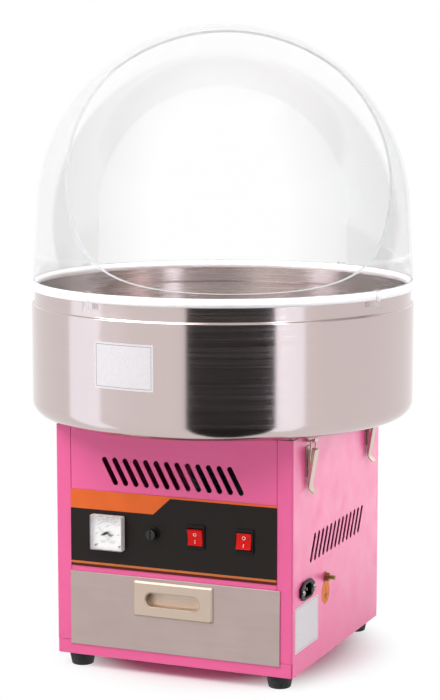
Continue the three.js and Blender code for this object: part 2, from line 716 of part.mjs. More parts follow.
function addMeter() {
  const meter = new THREE.Group();
  meter.position.set(METER_X, DEVICE_Y, PAN_Z + METER_Z);
  machine.add(meter);
  const square = (inset) => roundedRect(METER_SIZE - 2 * inset, METER_SIZE - 2 * inset, METER_CORNER_R);
  const faceY = -METER_FLANGE_T;
  place('meter_housing', join(
    extrudeY(square(0), faceY, 0, 3),
    extrudeY(disc(METER_BARREL_D / 2), faceY / 2, METER_BARREL_L, ROUND_FACETS),
  ), WHITE_PLASTIC, meter);

  const dialBack = faceY - SEAT_GAP;
  const dialFace = dialBack - METER_DIAL_T;
  const dialInset = METER_COVER_T + 2 * SEAT_GAP;
  place('meter_dial', closedMesh(extrudeY(square(dialInset), dialFace, dialBack, 2)), WHITE_PLASTIC, meter);

  const cover = cut(
    extrudeY(square(0), dialBack - METER_COVER_D, dialBack, 3),
    extrudeY(square(METER_COVER_T), dialBack - METER_COVER_D + METER_COVER_T, dialBack + 1, 3),
  );
  place('meter_cover', cover, CLEAR_ACRYLIC, meter);

  const hubBack = dialFace - SEAT_GAP;
  const hub = extrudeY(disc(NEEDLE_HUB_D / 2), hubBack - NEEDLE_HUB_L, hubBack, 8);
  const bladeY = hubBack - NEEDLE_HUB_L / 2;
  const blade = extrudeY(outline([[-NEEDLE_W / 2, 0], [NEEDLE_W / 2, 0], [NEEDLE_W / 4, NEEDLE_L],
    [-NEEDLE_W / 4, NEEDLE_L]]), bladeY - NEEDLE_T / 2, bladeY + NEEDLE_T / 2);
  const needle = place('meter_needle', join(hub, blade), BLACK_PLASTIC, meter);
  needle.position.z = -NEEDLE_DROP;
  needle.rotation.y = THREE.MathUtils.degToRad(-NEEDLE_REST_DEG);
}

function addFuse() {
  const fuse = new THREE.Group();
  fuse.position.set(FUSE_X, DEVICE_Y, PAN_Z + FUSE_Z);
  machine.add(fuse);
  const holder = cut(
    join(
      extrudeY(disc(FUSE_FLANGE_D / 2), -FUSE_FLANGE_T, 0, ROUND_FACETS),
      extrudeY(disc(FUSE_BARREL_D / 2), -FUSE_FLANGE_T / 2, FUSE_BARREL_L, ROUND_FACETS),
    ),
    extrudeY(disc(FUSE_BORE_D / 2), -FUSE_FLANGE_T - 1, FUSE_BORE_DEPTH, 8),
  );
  place('fuse_holder', holder, BLACK_PLASTIC, fuse);

  const capBack = -FUSE_FLANGE_T - SEAT_GAP;
  const capFace = capBack - FUSE_CAP_L;
  const knob = extrudeY(disc(FUSE_CAP_D / 2), capFace, capBack, ROUND_FACETS);
  const stem = extrudeY(disc(FUSE_BORE_D / 2 - HOLE_GAP), capBack - 1, capBack + FUSE_STEM_L, 8);
  const slot = box(-FUSE_CAP_SLOT_W / 2, FUSE_CAP_SLOT_W / 2, capFace - 1, capFace + FUSE_CAP_SLOT_DEPTH,
    -FUSE_CAP_D, FUSE_CAP_D);
  place('fuse_cap', cut(join(knob, stem), slot), BLACK_PLASTIC, fuse);
}

// A rocker switch; pressed is -1 with the lower half in, +1 with the upper half in.
function addSwitch(name, x, pressed) {
  const group = new THREE.Group();
  group.position.set(x, DEVICE_Y, PAN_Z + SWITCH_Z);
  machine.add(group);
  const bezel = extrudeY(roundedRect(BEZEL_W, BEZEL_H, BEZEL_CORNER_R), -BEZEL_T, 0, 2);
  const body = box(-SWITCH_BODY_W / 2, SWITCH_BODY_W / 2, -BEZEL_T / 2, SWITCH_BODY_D,
    -SWITCH_BODY_H / 2, SWITCH_BODY_H / 2);
  const tilt = THREE.MathUtils.degToRad(ROCKER_TILT_DEG);
  const swing = (ROCKER_H / 2) * Math.cos(tilt) + (ROCKER_STANDOUT + ROCKER_PIVOT_D) * Math.sin(tilt);
  const cavity = box(-ROCKER_W / 2 - SIDE_GAP, ROCKER_W / 2 + SIDE_GAP, -BEZEL_T - 1, SWITCH_CAVITY_D,
    -swing - SIDE_GAP, swing + SIDE_GAP);
  place(`${name}_switch_body`, cut(join(bezel, body), cavity), BLACK_PLASTIC, group);

  const end = ROCKER_H / 2;
  const face = -ROCKER_PIVOT_D - ROCKER_STANDOUT;
  const side = outline([
    [face, end], [face + ROCKER_DIP, 0], [face, -end], [face + ROCKER_SKIRT, -end],
    [face + ROCKER_SKIRT + ROCKER_DIP, 0], [face + ROCKER_SKIRT, end],
  ]);
  const rocker = place(`${name}_rocker`, closedMesh(extrudeX(side, -ROCKER_W / 2, ROCKER_W / 2)),
    RED_PLASTIC, group);
  rocker.position.y = -BEZEL_T + ROCKER_PIVOT_D;
  rocker.rotation.x = -pressed * tilt;
}

// Right side devices

function addInlet() {
  const inlet = new THREE.Group();
  inlet.position.set(SIDE_X + SEAT_GAP, INLET_Y, PAN_Z + INLET_Z);
  machine.add(inlet);
  const ear = INLET_FLANGE_W / 2;
  const waist = INLET_BODY_W / 2;
  const tall = INLET_FLANGE_H / 2;
  const low = INLET_EAR_H / 2;
  const flange = outline([[-ear, -low], [-waist, -tall], [waist, -tall], [ear, -low],
    [ear, low], [waist, tall], [-waist, tall], [-ear, low]]);
  const halfW = INLET_SOCKET_W / 2;
  const halfH = INLET_SOCKET_H / 2;
  const socket = outline([[-halfW, -halfH], [halfW, -halfH], [halfW, halfH - INLET_KEY],
    [halfW - INLET_KEY, halfH], [-halfW + INLET_KEY, halfH], [-halfW, halfH - INLET_KEY]]);
  const shell = cut(
    join(
      extrudeX(flange, 0, INLET_FLANGE_T),
      box(-INLET_BODY_D, INLET_FLANGE_T / 2, -waist, waist, -INLET_BODY_H / 2, INLET_BODY_H / 2),
    ),
    extrudeX(socket, INLET_FLANGE_T - INLET_SOCKET_D, INLET_FLANGE_T + 1),
  );
  const root = INLET_FLANGE_T - INLET_SOCKET_D;
  const pins = [[0, PIN_RISE], [-PIN_PITCH, -PIN_RISE / 2], [PIN_PITCH, -PIN_RISE / 2]].map(([y, z]) => (
    box(root - 1, root + PIN_L, y - PIN_W / 2, y + PIN_W / 2, z - PIN_H / 2, z + PIN_H / 2)));
  place('power_inlet', join(shell, ...pins), BLACK_PLASTIC, inlet);
}

function addEarthStud() {
  const stud = EARTH_STUD_D / 2;
  const washer = EARTH_WASHER_D / 2;
  const profile = revolve([
    [0, -EARTH_TAIL_L], [stud, -EARTH_TAIL_L], [stud, SEAT_GAP], [washer, SEAT_GAP],
    [washer, SEAT_GAP + EARTH_WASHER_T], [stud, SEAT_GAP + EARTH_WASHER_T],
    [stud, EARTH_STUD_L - 1], [stud - 1, EARTH_STUD_L], [0, EARTH_STUD_L],
  ], 12).rotateY(Math.PI / 2);
  const corner = EARTH_NUT_AF / 2 / Math.cos(Math.PI / 6);
  const nut = new THREE.CylinderGeometry(corner, corner, EARTH_NUT_H, 6).rotateZ(Math.PI / 2);
  const nutX = SEAT_GAP + EARTH_WASHER_T + EARTH_NUT_H / 2 - EARTH_NUT_SINK;
  const mesh = place('earth_stud', join(profile, nut.translate(nutX, 0, 0)), BRASS);
  mesh.position.set(SIDE_X, EARTH_Y, PAN_Z + EARTH_Z);
}

// Bowl

function addBowl() {
  const bead = RIM_Z - BOWL_Z - BEAD_R;
  const cornerR = BOWL_CORNER_R;
  const flatR = BOWL_R - cornerR;
  const shoulder = BOWL_H - SHOULDER_BELOW_RIM;
  const beadFoot = Math.asin((BEAD_CENTRE_R - NECK_R) / BEAD_R);
  const footDeg = THREE.MathUtils.radToDeg(beadFoot);
  const innerFoot = Math.asin((BEAD_CENTRE_R - NECK_R + BOWL_T) / BEAD_R);
  const innerDeg = THREE.MathUtils.radToDeg(innerFoot);
  const profile = [
    [COLLAR_R, 0],
    ...arcPoints(flatR, cornerR, cornerR, -90, 0, 3),
    [BOWL_R, shoulder],
    [NECK_R, shoulder + SHOULDER_H],
    ...arcPoints(BEAD_CENTRE_R, bead, BEAD_R, -90 - footDeg, 270 - innerDeg, 7),
    [NECK_R - BOWL_T, shoulder + SHOULDER_H],
    [BOWL_R - BOWL_T, shoulder],
    ...arcPoints(flatR, cornerR, cornerR - BOWL_T, 0, -90, 3),
    [COLLAR_R + BOWL_T, BOWL_T],
    [COLLAR_R + BOWL_T, COLLAR_H],
    [COLLAR_R, COLLAR_H],
  ];
  const bowl = place('bowl', closedMesh(revolveClosed(profile, BOWL_SIDES)), POLISHED_STEEL);
  bowl.position.z = BOWL_Z;
}

// Dome with its cut-away mouth and locating clips

function domeProfile(inset, steps) {
  const crown = arcPoints(0, 0, 1, 0, 90, steps).map(([c, s]) => [
    (DOME_SKIRT_R - inset) * c, DOME_SKIRT_H + (DOME_CROWN_H - inset) * s,
  ]);
  crown[crown.length - 1][0] = 0;
  return [[DOME_FOOT_R - inset, 0], ...crown];
}

function addDome() {
  const cover = new THREE.Group();
  cover.position.z = DOME_Z;
  cover.rotation.z = THREE.MathUtils.degToRad(DOME_TURN_DEG);
  machine.add(cover);
  const steps = 8;
  const inner = domeProfile(DOME_T, steps).reverse();
  const shell = revolveClosed([...domeProfile(0, steps), ...inner], DOME_SIDES);

  const top = DOME_SKIRT_H + DOME_CROWN_H + 10;
  const far = DOME_FOOT_R + 30;
  const mouth = new THREE.Shape();
  mouth.moveTo(-MOUTH_TOP_F, top);
  mouth.lineTo(-MOUTH_TOP_F, MOUTH_BEND_Z);
  mouth.lineTo(-MOUTH_LOW_F, MOUTH_LOW_Z);
  mouth.quadraticCurveTo(-MOUTH_CURVE_F, MOUTH_CURVE_Z, -DOME_FOOT_R - 1, MOUTH_FOOT_Z);
  mouth.lineTo(-far, MOUTH_FOOT_Z);
  mouth.lineTo(-far, top);
  place('dome', cut(shell, extrudeX(mouth, -far, far, 10)), CLEAR_ACRYLIC, cover);

  const wall = DOME_FOOT_R + SEAT_GAP;
  const outer = BEAD_CENTRE_R + BEAD_R + SEAT_GAP + CLIP_T;
  const hook = outline([
    [wall, CLIP_RISE], [wall + CLIP_T, CLIP_RISE], [wall + CLIP_T, CLIP_T], [outer, CLIP_T],
    [outer, -CLIP_DROP], [outer - CLIP_T, -CLIP_DROP], [outer - CLIP_T, 0], [wall, 0],
  ]);
  for (let i = 0; i < 4; i += 1) {
    const clip = place(`dome_clip_${i + 1}`, closedMesh(extrudeY(hook, -CLIP_W / 2, CLIP_W / 2)),
      CLEAR_ACRYLIC, cover);
    clip.rotation.z = THREE.MathUtils.degToRad(CLIP_FIRST_DEG + 90 * i);
  }
}

// Toggle latches: base with cheeks and pivot pin, channel lever, wire bail, and the catch on the bowl

function latchBase() {
  const plate = box(SEAT_GAP, SEAT_GAP + LATCH_PLATE_T, -LATCH_PLATE_W / 2, LATCH_PLATE_W / 2,
    -LATCH_PLATE_DOWN, LATCH_PLATE_UP);
  const root = SEAT_GAP + LATCH_PLATE_T / 2;
  const side = new THREE.Shape();
  side.moveTo(root, CHEEK_TOP);
  side.absarc(LATCH_STANDOUT, 0, CHEEK_TOP, Math.PI / 2, -Math.PI / 4, true);
  side.lineTo(root, -CHEEK_DROP);
  const cheeks = [-1, 1].map((sign) => {
    const outer = sign * CHEEK_HALF;
    const inner = sign * (CHEEK_HALF - CHEEK_T);
    return extrudeY(side, Math.min(outer, inner), Math.max(outer, inner), 3);
  });
  const pinHalf = LEVER_HALF - PIN_INSET;
  const pin = extrudeY(disc(PIVOT_R, LATCH_STANDOUT, 0), -pinHalf, pinHalf, 5);
  return join(plate, ...cheeks, pin);
}

function latchLever() {
  const at = (points) => outline(points.map(([out, z]) => [LATCH_STANDOUT + out, z]));
  const inside = LEVER_LOW_OUT - LEVER_WEB_T;
  const tip = -LEVER_L - LIP_DROP;
  const bend = -LEVER_L - LIP_DROP / 2;
  const side = at([
    [LEVER_TOP_IN, LEVER_TOP], [LEVER_LOW_IN, LEVER_HEEL - LEVER_L], [inside, -LEVER_L],
    [inside + LIP_T, bend], [LIP_OUT - LIP_T / 2, tip - LIP_T],
    [LIP_OUT, tip], [LEVER_LOW_OUT + LIP_T, bend + LIP_T],
    [LEVER_LOW_OUT, -LEVER_L], [LEVER_TOP_OUT, LEVER_TOP],
  ]);
  const lean = (LEVER_TOP_OUT - LEVER_LOW_OUT) / (LEVER_L + LEVER_TOP);
  const web = (z) => LEVER_TOP_OUT - LEVER_WEB_T + (z - LEVER_TOP) * lean;
  const pocketTop = LEVER_TOP + LEVER_WEB_T;
  const pocketLow = LEVER_HEEL / 2 - LEVER_L;
  const pocket = at([[-LATCH_STANDOUT, pocketTop], [-LATCH_STANDOUT, pocketLow],
    [web(pocketLow), pocketLow], [web(pocketTop), pocketTop]]);
  const inner = LEVER_HALF - LEVER_WALL;
  const hole = (r, x, z) => extrudeY(disc(r, x, z), -LEVER_HALF - 1, LEVER_HALF + 1, 5);
  return cut(
    extrudeY(side, -LEVER_HALF, LEVER_HALF),
    extrudeY(pocket, -inner, inner),
    hole(PIVOT_R + HOLE_GAP, LATCH_STANDOUT, 0),
    hole(BAIL_WIRE_R + HOLE_GAP, LATCH_STANDOUT - BAIL_PIVOT_IN, -BAIL_PIVOT_DROP),
  );
}

function latchBail() {
  const foot = new THREE.Vector3(LATCH_STANDOUT - BAIL_PIVOT_IN, 0, -BAIL_PIVOT_DROP);
  const head = new THREE.Vector3(LATCH_STANDOUT, 0, BAIL_BAR_Z);
  const up = head.clone().sub(foot);
  const top = up.length();
  const end = LEVER_HALF - LEVER_WALL - PIN_INSET;
  const bend = BAIL_HALF - LEVER_HALF - HOLE_GAP;
  const half = [
    [end, 0],
    ...arcPoints(BAIL_HALF - bend, bend, bend, -90, 0, 1),
    ...arcPoints(BAIL_HALF - BAIL_BEND, top - BAIL_BEND, BAIL_BEND, 0, 90, 2),
  ];
  const path = [...half, ...half.map(([y, rise]) => [-y, rise]).reverse()];
  up.normalize();
  const points = path.map(([y, rise]) => foot.clone().addScaledVector(up, rise).setY(y));
  return wire(points, new THREE.Vector3(up.z, 0, -up.x), BAIL_WIRE_R, BAIL_SIDES);
}

function bowlCatch() {
  const top = BOWL_Z - SEAT_GAP - (PAN_Z + LATCH_Z);
  const trough = BAIL_BAR_Z - BAIL_WIRE_R - SEAT_GAP;
  const lip = LATCH_STANDOUT + CATCH_LIP_OUT;
  return closedMesh(extrudeY(outline([
    [CATCH_IN, trough - CATCH_T], [lip + CATCH_T, trough - CATCH_T], [lip + CATCH_T, trough + CATCH_LIP_RISE],
    [lip, trough + CATCH_LIP_RISE], [lip, trough], [CATCH_IN + CATCH_T, trough],
    [CATCH_IN + CATCH_T, top - CATCH_T], [lip, top - CATCH_T], [lip, top], [CATCH_IN, top],
  ]), -CATCH_HALF, CATCH_HALF));
}

function addLatches() {
  for (const [end, sy] of [['front', -1], ['rear', 1]]) {
    for (const [side, sx] of [['left', -1], ['right', 1]]) {
      const latch = new THREE.Group();
      latch.position.set(sx * SIDE_X, sy * LATCH_Y, PAN_Z + LATCH_Z);
      latch.rotation.z = sx > 0 ? 0 : Math.PI;
      machine.add(latch);
      const label = `${end}_${side}`;
      place(`latch_base_${label}`, latchBase(), ZINC_STEEL, latch);
      place(`latch_lever_${label}`, latchLever(), ZINC_STEEL, latch);
      place(`latch_bail_${label}`, latchBail(), ZINC_STEEL, latch);
      place(`bowl_catch_${label}`, bowlCatch(), ZINC_STEEL, latch);
    }
  }
}

// Drive under the deck

function addDrive() {
  const drive = new THREE.Group();
  drive.position.z = MOTOR_PLATE_Z;
  machine.add(drive);
  const halfW = MOTOR_PLATE_W / 2;
  const halfD = MOTOR_PLATE_D / 2;
  const plate = cut(
    box(-halfW, halfW, -halfD, halfD, 0, MOTOR_PLATE_T),
    extrudeZ(disc(MOTOR_BOSS_D / 2 + HOLE_GAP), -1, MOTOR_PLATE_T + 1, ROUND_FACETS),
  );
  const postTop = DECK_Z - SEAT_GAP - MOTOR_PLATE_Z;
  const posts = [-1, 1].flatMap((sx) => [-1, 1].map((sy) => extrudeZ(
    disc(POST_D / 2, sx * (halfW - POST_INSET), sy * (halfD - POST_INSET)), MOTOR_PLATE_T / 2, postTop, 5,
  )));
  place('motor_bracket', join(plate, ...posts), ZINC_STEEL, drive);

  const can = MOTOR_D / 2;
  const bore = SHAFT_D / 2 + HOLE_GAP;
  const boss = MOTOR_BOSS_D / 2;
  const low = -SEAT_GAP - MOTOR_H;
  const bellLow = low + MOTOR_BELL_H;
  const bellTop = -SEAT_GAP - MOTOR_BELL_H;
  const motor = revolve([
    [0, low], [boss, low], [can - MOTOR_EDGE, low + MOTOR_BELL_H / 2], [can, bellLow],
    [can, bellLow + MOTOR_RIB], [can - MOTOR_RIB, bellLow + 2 * MOTOR_RIB],
    [can - MOTOR_RIB, bellTop - 2 * MOTOR_RIB], [can, bellTop - MOTOR_RIB],
    [can, -SEAT_GAP - MOTOR_EDGE], [can - MOTOR_EDGE, -SEAT_GAP], [boss, -SEAT_GAP], [boss, MOTOR_BOSS_H],
    [bore, MOTOR_BOSS_H], [bore, -SHAFT_SINK - SEAT_GAP], [0, -SHAFT_SINK - SEAT_GAP],
  ], ROUND_SIDES);
  place('motor', closedMesh(motor), MOTOR_PAINT, drive);

  const shaftTop = HEAD_BASE_Z + HEAD_HUB_TOP - HUB_ROOF_T - SEAT_GAP - MOTOR_PLATE_Z;
  const shaft = new THREE.CylinderGeometry(SHAFT_D / 2, SHAFT_D / 2, shaftTop + SHAFT_SINK, ROUND_SIDES);
  place('motor_shaft', closedMesh(shaft.rotateX(Math.PI / 2).translate(0, 0, (shaftTop - SHAFT_SINK) / 2)),
    POLISHED_STEEL, drive);

  const ring = revolveClosed([
    [bore, 0], [SLIP_RING_D / 2, 0], [SLIP_RING_D / 2, SLIP_RING_T], [bore, SLIP_RING_T],
  ], ROUND_SIDES);
  ['lower', 'upper'].forEach((level, i) => {
    const mesh = place(`slip_ring_${level}`, closedMesh(ring), BRASS, drive);
    mesh.position.z = MOTOR_PLATE_T + SLIP_RING_LIFT + i * SLIP_RING_PITCH;
  });

  const blockX = SLIP_RING_D / 2 + BRUSH_GAP + BRUSH_L;
  const seat = MOTOR_PLATE_T + SEAT_GAP;
  const blockHalf = BRUSH_BLOCK_D / 2;
  const block = box(blockX, blockX + BRUSH_BLOCK_W, -blockHalf, blockHalf, seat, seat + BRUSH_BLOCK_H);
  const brushes = [0, 1].map((i) => {
    const middle = MOTOR_PLATE_T + SLIP_RING_LIFT + SLIP_RING_T / 2 + i * SLIP_RING_PITCH;
    const [low, high] = [middle - BRUSH_T / 2, middle + BRUSH_T / 2];
    return box(blockX - BRUSH_L, blockX + 1, -BRUSH_W / 2, BRUSH_W / 2, low, high);
  });
  place('brush_block', join(block, ...brushes), BLACK_PLASTIC, drive);
}

// Spinner head

function addSpinnerHead() {
  const head = new THREE.Group();
  head.position.z = HEAD_BASE_Z;
  machine.add(head);
  const bore = SHAFT_D / 2 + HOLE_GAP;
  const ringOut = HEAD_R - RING_INSET;
  const ringIn = ringOut - RING_T;
  const land = ringIn - SEAT_GAP;
  const boreEnd = HEAD_HUB_TOP - HUB_ROOF_T;
  const base = revolve([
    [0, HEAD_HUB_TOP + SPREADER_H], [HEAD_HUB_R, HEAD_HUB_TOP], [HEAD_HUB_R, HEAD_DISC_T],
    [LEDGE_IN_R, HEAD_DISC_T], [LEDGE_IN_R, LEDGE_H], [land, LEDGE_H], [land, HEAD_DISC_T],
    [HEAD_R, HEAD_DISC_T], [HEAD_R, 0], [HEAD_HUB_R + HUB_FLARE, 0], [HEAD_HUB_R, -HUB_FLARE],
    [HEAD_HUB_R, -HEAD_HUB_DROP], [bore, -HEAD_HUB_DROP], [bore, boreEnd], [0, boreEnd],
  ], RING_SLOTS);
  place('spinner_base', closedMesh(base), ALUMINIUM, head);

  const points = Array.from({ length: ELEMENT_WAVES * 4 }, (_, i) => {
    const angle = (2 * Math.PI * i) / (ELEMENT_WAVES * 4);
    return [angle, ELEMENT_MEAN_R + [0, 1, 0, -1][i % 4] * ELEMENT_WAVE];
  });
  const loop = (offset) => points.map(([angle, r]) => [
    (r + offset) * Math.cos(angle), (r + offset) * Math.sin(angle),
  ]);
  const ribbon = outline(loop(ELEMENT_T / 2));
  ribbon.holes.push(new THREE.Path(loop(-ELEMENT_T / 2).map(([x, y]) => new THREE.Vector2(x, y))));
  const elementZ = LEDGE_H + SEAT_GAP;
  place('heating_element', closedMesh(extrudeZ(ribbon, elementZ, elementZ + ELEMENT_H)), NICHROME, head);

  const ringZ = HEAD_DISC_T + SEAT_GAP;
  const ringTop = ringZ + RING_H;
  const band = revolveClosed([[ringIn, ringZ], [ringOut, ringZ], [ringOut, ringTop], [ringIn, ringTop]],
    HEAD_SIDES);
  const slot = box(ringIn - RING_T, ringOut + RING_T, -RING_SLOT_W / 2, RING_SLOT_W / 2,
    ringZ + RING_SLOT_MARGIN, ringTop - RING_SLOT_MARGIN);
  const slots = Array.from({ length: RING_SLOTS }, (_, i) => (
    slot.clone().rotateZ((2 * Math.PI * (i + 0.5)) / RING_SLOTS)));
  place('spinner_ring', cut(band, ...slots), ALUMINIUM, head);

  const capZ = ringTop + SEAT_GAP;
  const cap = revolveClosed([
    [ringOut + SEAT_GAP, capZ - CAP_SKIRT_H], [HEAD_R, capZ - CAP_SKIRT_H], [HEAD_R, capZ + CAP_T],
    [CAP_NECK_R + CAP_T, capZ + CAP_RISE], [CAP_NECK_R + CAP_T, capZ + CAP_RISE + CAP_NECK_H],
    [CAP_NECK_R, capZ + CAP_RISE + CAP_NECK_H], [CAP_NECK_R, capZ + CAP_RISE - CAP_T],
    [HEAD_R - 3 * CAP_T, capZ], [ringOut + SEAT_GAP, capZ],
  ], HEAD_SIDES);
  place('spinner_cap', closedMesh(cap), ALUMINIUM, head);
}

addFeet();
addBasePan();
addPanels();
addRunners();
addDrawer();
addMeter();
addFuse();
addSwitch('heat', HEAT_SWITCH_X, -1);
addSwitch('power', POWER_SWITCH_X, 1);
addInlet();
addEarthStud();
addBowl();
addDome();
addLatches();
addDrive();
addSpinnerHead();

export default machine;
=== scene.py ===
"""Looks of an electric cotton candy machine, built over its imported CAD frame.

Sizes are written in millimetres and become metres when a mesh is made.
+Z is up, the front faces -Y, and the middle of the bowl stands over the origin.
"""

import functools
import json
import logging
import math
from dataclasses import dataclass, field
from enum import Enum
from typing import Callable, Sequence

import bmesh
import bpy
from mathutils import Matrix, Vector

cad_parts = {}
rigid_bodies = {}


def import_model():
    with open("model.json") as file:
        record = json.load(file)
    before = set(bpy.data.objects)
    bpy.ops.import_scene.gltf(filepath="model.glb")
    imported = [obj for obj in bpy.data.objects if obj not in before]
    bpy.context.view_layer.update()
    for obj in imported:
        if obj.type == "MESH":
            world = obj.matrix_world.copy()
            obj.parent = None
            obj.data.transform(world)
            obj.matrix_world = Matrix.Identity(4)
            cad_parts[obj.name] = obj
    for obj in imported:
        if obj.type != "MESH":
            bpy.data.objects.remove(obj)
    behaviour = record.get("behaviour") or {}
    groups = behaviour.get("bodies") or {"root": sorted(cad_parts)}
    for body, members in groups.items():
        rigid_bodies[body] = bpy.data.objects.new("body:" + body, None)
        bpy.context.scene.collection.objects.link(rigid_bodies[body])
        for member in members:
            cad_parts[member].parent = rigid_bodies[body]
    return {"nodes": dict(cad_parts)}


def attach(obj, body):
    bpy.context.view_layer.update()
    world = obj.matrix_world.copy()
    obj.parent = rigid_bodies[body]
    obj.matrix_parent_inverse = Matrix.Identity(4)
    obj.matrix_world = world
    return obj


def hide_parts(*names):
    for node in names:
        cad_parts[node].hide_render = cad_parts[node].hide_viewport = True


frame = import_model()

log = logging.getLogger("cotton_candy_machine")

MM = 0.001
SEAT_GAP = 0.3
SMOOTH_ANGLE = math.radians(35)
FACING_FRONT = (math.pi / 2, 0.0, 0.0)

Point = tuple[float, float]
Place = tuple[float, float, float]
Solid = bmesh.types.BMesh
Thing = bpy.types.Object
Face = bpy.types.MeshPolygon
Tree = bpy.types.NodeTree
Node = bpy.types.Node
Socket = bpy.types.NodeSocket
Inputs = dict[str | int, object]


class Axis(Enum):
    """Direction in which a flat outline is given its depth."""

    X = "x"
    Y = "y"
    Z = "z"

    def place(self, across: float, up: float, depth: float) -> Vector:
        """Puts a point of the outline in space.

        Args:
            across: First coordinate of the outline.
            up: Second coordinate of the outline.
            depth: Distance along this axis.

        Returns:
            The point in space.
        """
        if self is Axis.X:
            return Vector((depth, across, up))
        if self is Axis.Y:
            return Vector((across, depth, up))
        return Vector((across, up, depth))


class Labelled(Enum):
    """Named choice with the label that the CAD gives it."""

    @property
    def label(self) -> str:
        """Name in small letters."""
        return self.name.lower()


class Side(Labelled):
    """Side of the cabinet, with the sign of its X."""

    LEFT = -1
    RIGHT = 1


class End(Labelled):
    """End of the cabinet, with the sign of its Y."""

    FRONT = -1
    REAR = 1


# Outlines


def rectangle(width: float, height: float, across: float = 0.0, up: float = 0.0) -> list[Point]:
    """Corners of a rectangle about a centre."""
    w, h = width / 2, height / 2
    return [(across - w, up - h), (across + w, up - h), (across + w, up + h), (across - w, up + h)]


def arc(centre: Point, radius: float, start: float, stop: float, steps: int) -> list[Point]:
    """Points of an arc.

    Args:
        centre: Middle of the arc.
        radius: Its radius.
        start: First angle in degrees.
        stop: Last angle in degrees.
        steps: Number of straight pieces.

    Returns:
        The points, with both ends.
    """
    angles = [math.radians(start + (stop - start) * i / steps) for i in range(steps + 1)]
    return [(centre[0] + radius * math.cos(a), centre[1] + radius * math.sin(a)) for a in angles]


def circle(radius: float, across: float = 0.0, up: float = 0.0, sides: int = 48) -> list[Point]:
    """Corners of a circle about a centre."""
    return arc((across, up), radius, 0, 360, sides)[:-1]


def rounded(width: float, height: float, radius: float, across: float = 0.0, up: float = 0.0) -> list[Point]:
    """Rectangle with round corners about a centre.

    Args:
        width: Its width.
        height: Its height.
        radius: Radius of its corners.
        across: First coordinate of its centre.
        up: Second coordinate of its centre.

    Returns:
        Its points.
    """
    w, h = width / 2 - radius, height / 2 - radius
    corners = [((w, -h), -90), ((w, h), 0), ((-w, h), 90), ((-w, -h), 180)]
    return [
        point
        for (x, z), start in corners
        for point in arc((across + x, up + z), radius, start, start + 90, 6)
    ]


def slot(reach: float, radius: float, across: float = 0.0, up: float = 0.0) -> list[Point]:
    """Level slot with round ends about a centre.

    Args:
        reach: From its middle to each end's centre.
        radius: Radius of its ends.
        across: First coordinate of its centre.
        up: Second coordinate of its centre.

    Returns:
        Its points.
    """
    right = arc((across + reach, up), radius, -90, 90, 14)
    left = arc((across - reach, up), radius, 90, 270, 14)
    return right + left


def turned(outline: Sequence[Point], left_inside: bool) -> list[Point]:
    """Outline that runs with its inside on the left, or on the right.

    Args:
        outline: Its points.
        left_inside: Whether the inside is to be on the left.

    Returns:
        The points, reversed where needed.
    """
    pairs = zip(outline, [*outline[1:], outline[0]])
    area = sum(a[0] * b[1] - b[0] * a[1] for a, b in pairs)
    return list(outline) if (area > 0) == left_inside else list(outline)[::-1]


def shrunk(outline: Sequence[Point], inset: float) -> list[Point]:
    """Outline moved to its left by an inset, with mitred corners.

    Args:
        outline: Its points.
        inset: How far it moves.

    Returns:
        The moved points.
    """
    count = len(outline)
    corners = []
    for i, (x, y) in enumerate(outline):
        before = Vector(outline[i]) - Vector(outline[i - 1])
        after = Vector(outline[(i + 1) % count]) - Vector(outline[i])
        first = Vector((-before.y, before.x)).normalized()
        second = Vector((-after.y, after.x)).normalized()
        shift = (first + second) * (inset / (1 + first.dot(second)))
        corners.append((x + shift.x, y + shift.y))
    return corners


# Solids


def plate(
    outer: Sequence[Point],
    low: float,
    high: float,
    axis: Axis,
    holes: Sequence[Sequence[Point]] = (),
    round_low: float = 0.0,
    round_high: float = 0.0,
) -> Solid:
    """Closed plate with holes and rounded edges.

    Args:
        outer: Its outline.
        low: Depth of its first face.
        high: Depth of its second face.
        axis: Direction of the depth.
        holes: Outlines of its holes.
        round_low: Edge radius at the first face.
        round_high: Edge radius at the second face.

    Returns:
        The solid, in millimetres.
    """
    quarter = [math.radians(a) for a in (90, 60, 30, 0)]
    levels = [(round_low * (1 - math.cos(a)), low + round_low * (1 - math.sin(a))) for a in quarter]
    if not round_low:
        levels = [(0.0, low)]
    upper = [(round_high * (1 - math.cos(a)), high - round_high * (1 - math.sin(a))) for a in quarter[::-1]]
    levels += upper if round_high else [(0.0, high)]
    solid = bmesh.new()
    ends = ([], [])
    for outline in [turned(outer, True), *(turned(hole, False) for hole in holes)]:
        rings = [
            [solid.verts.new(axis.place(x, z, depth)) for x, z in shrunk(outline, inset)]
            for inset, depth in levels
        ]
        for below, above in zip(rings, rings[1:]):
            for i in range(len(below)):
                solid.faces.new((below[i - 1], below[i], above[i], above[i - 1]))
        for edges, ring in zip(ends, (rings[0], rings[-1])):
            edges.extend(solid.edges.get((ring[i - 1], ring[i])) for i in range(len(ring)))
    for edges in ends:
        bmesh.ops.triangle_fill(solid, use_beauty=True, use_dissolve=False, edges=edges)
    bmesh.ops.recalc_face_normals(solid, faces=solid.faces)
    return solid


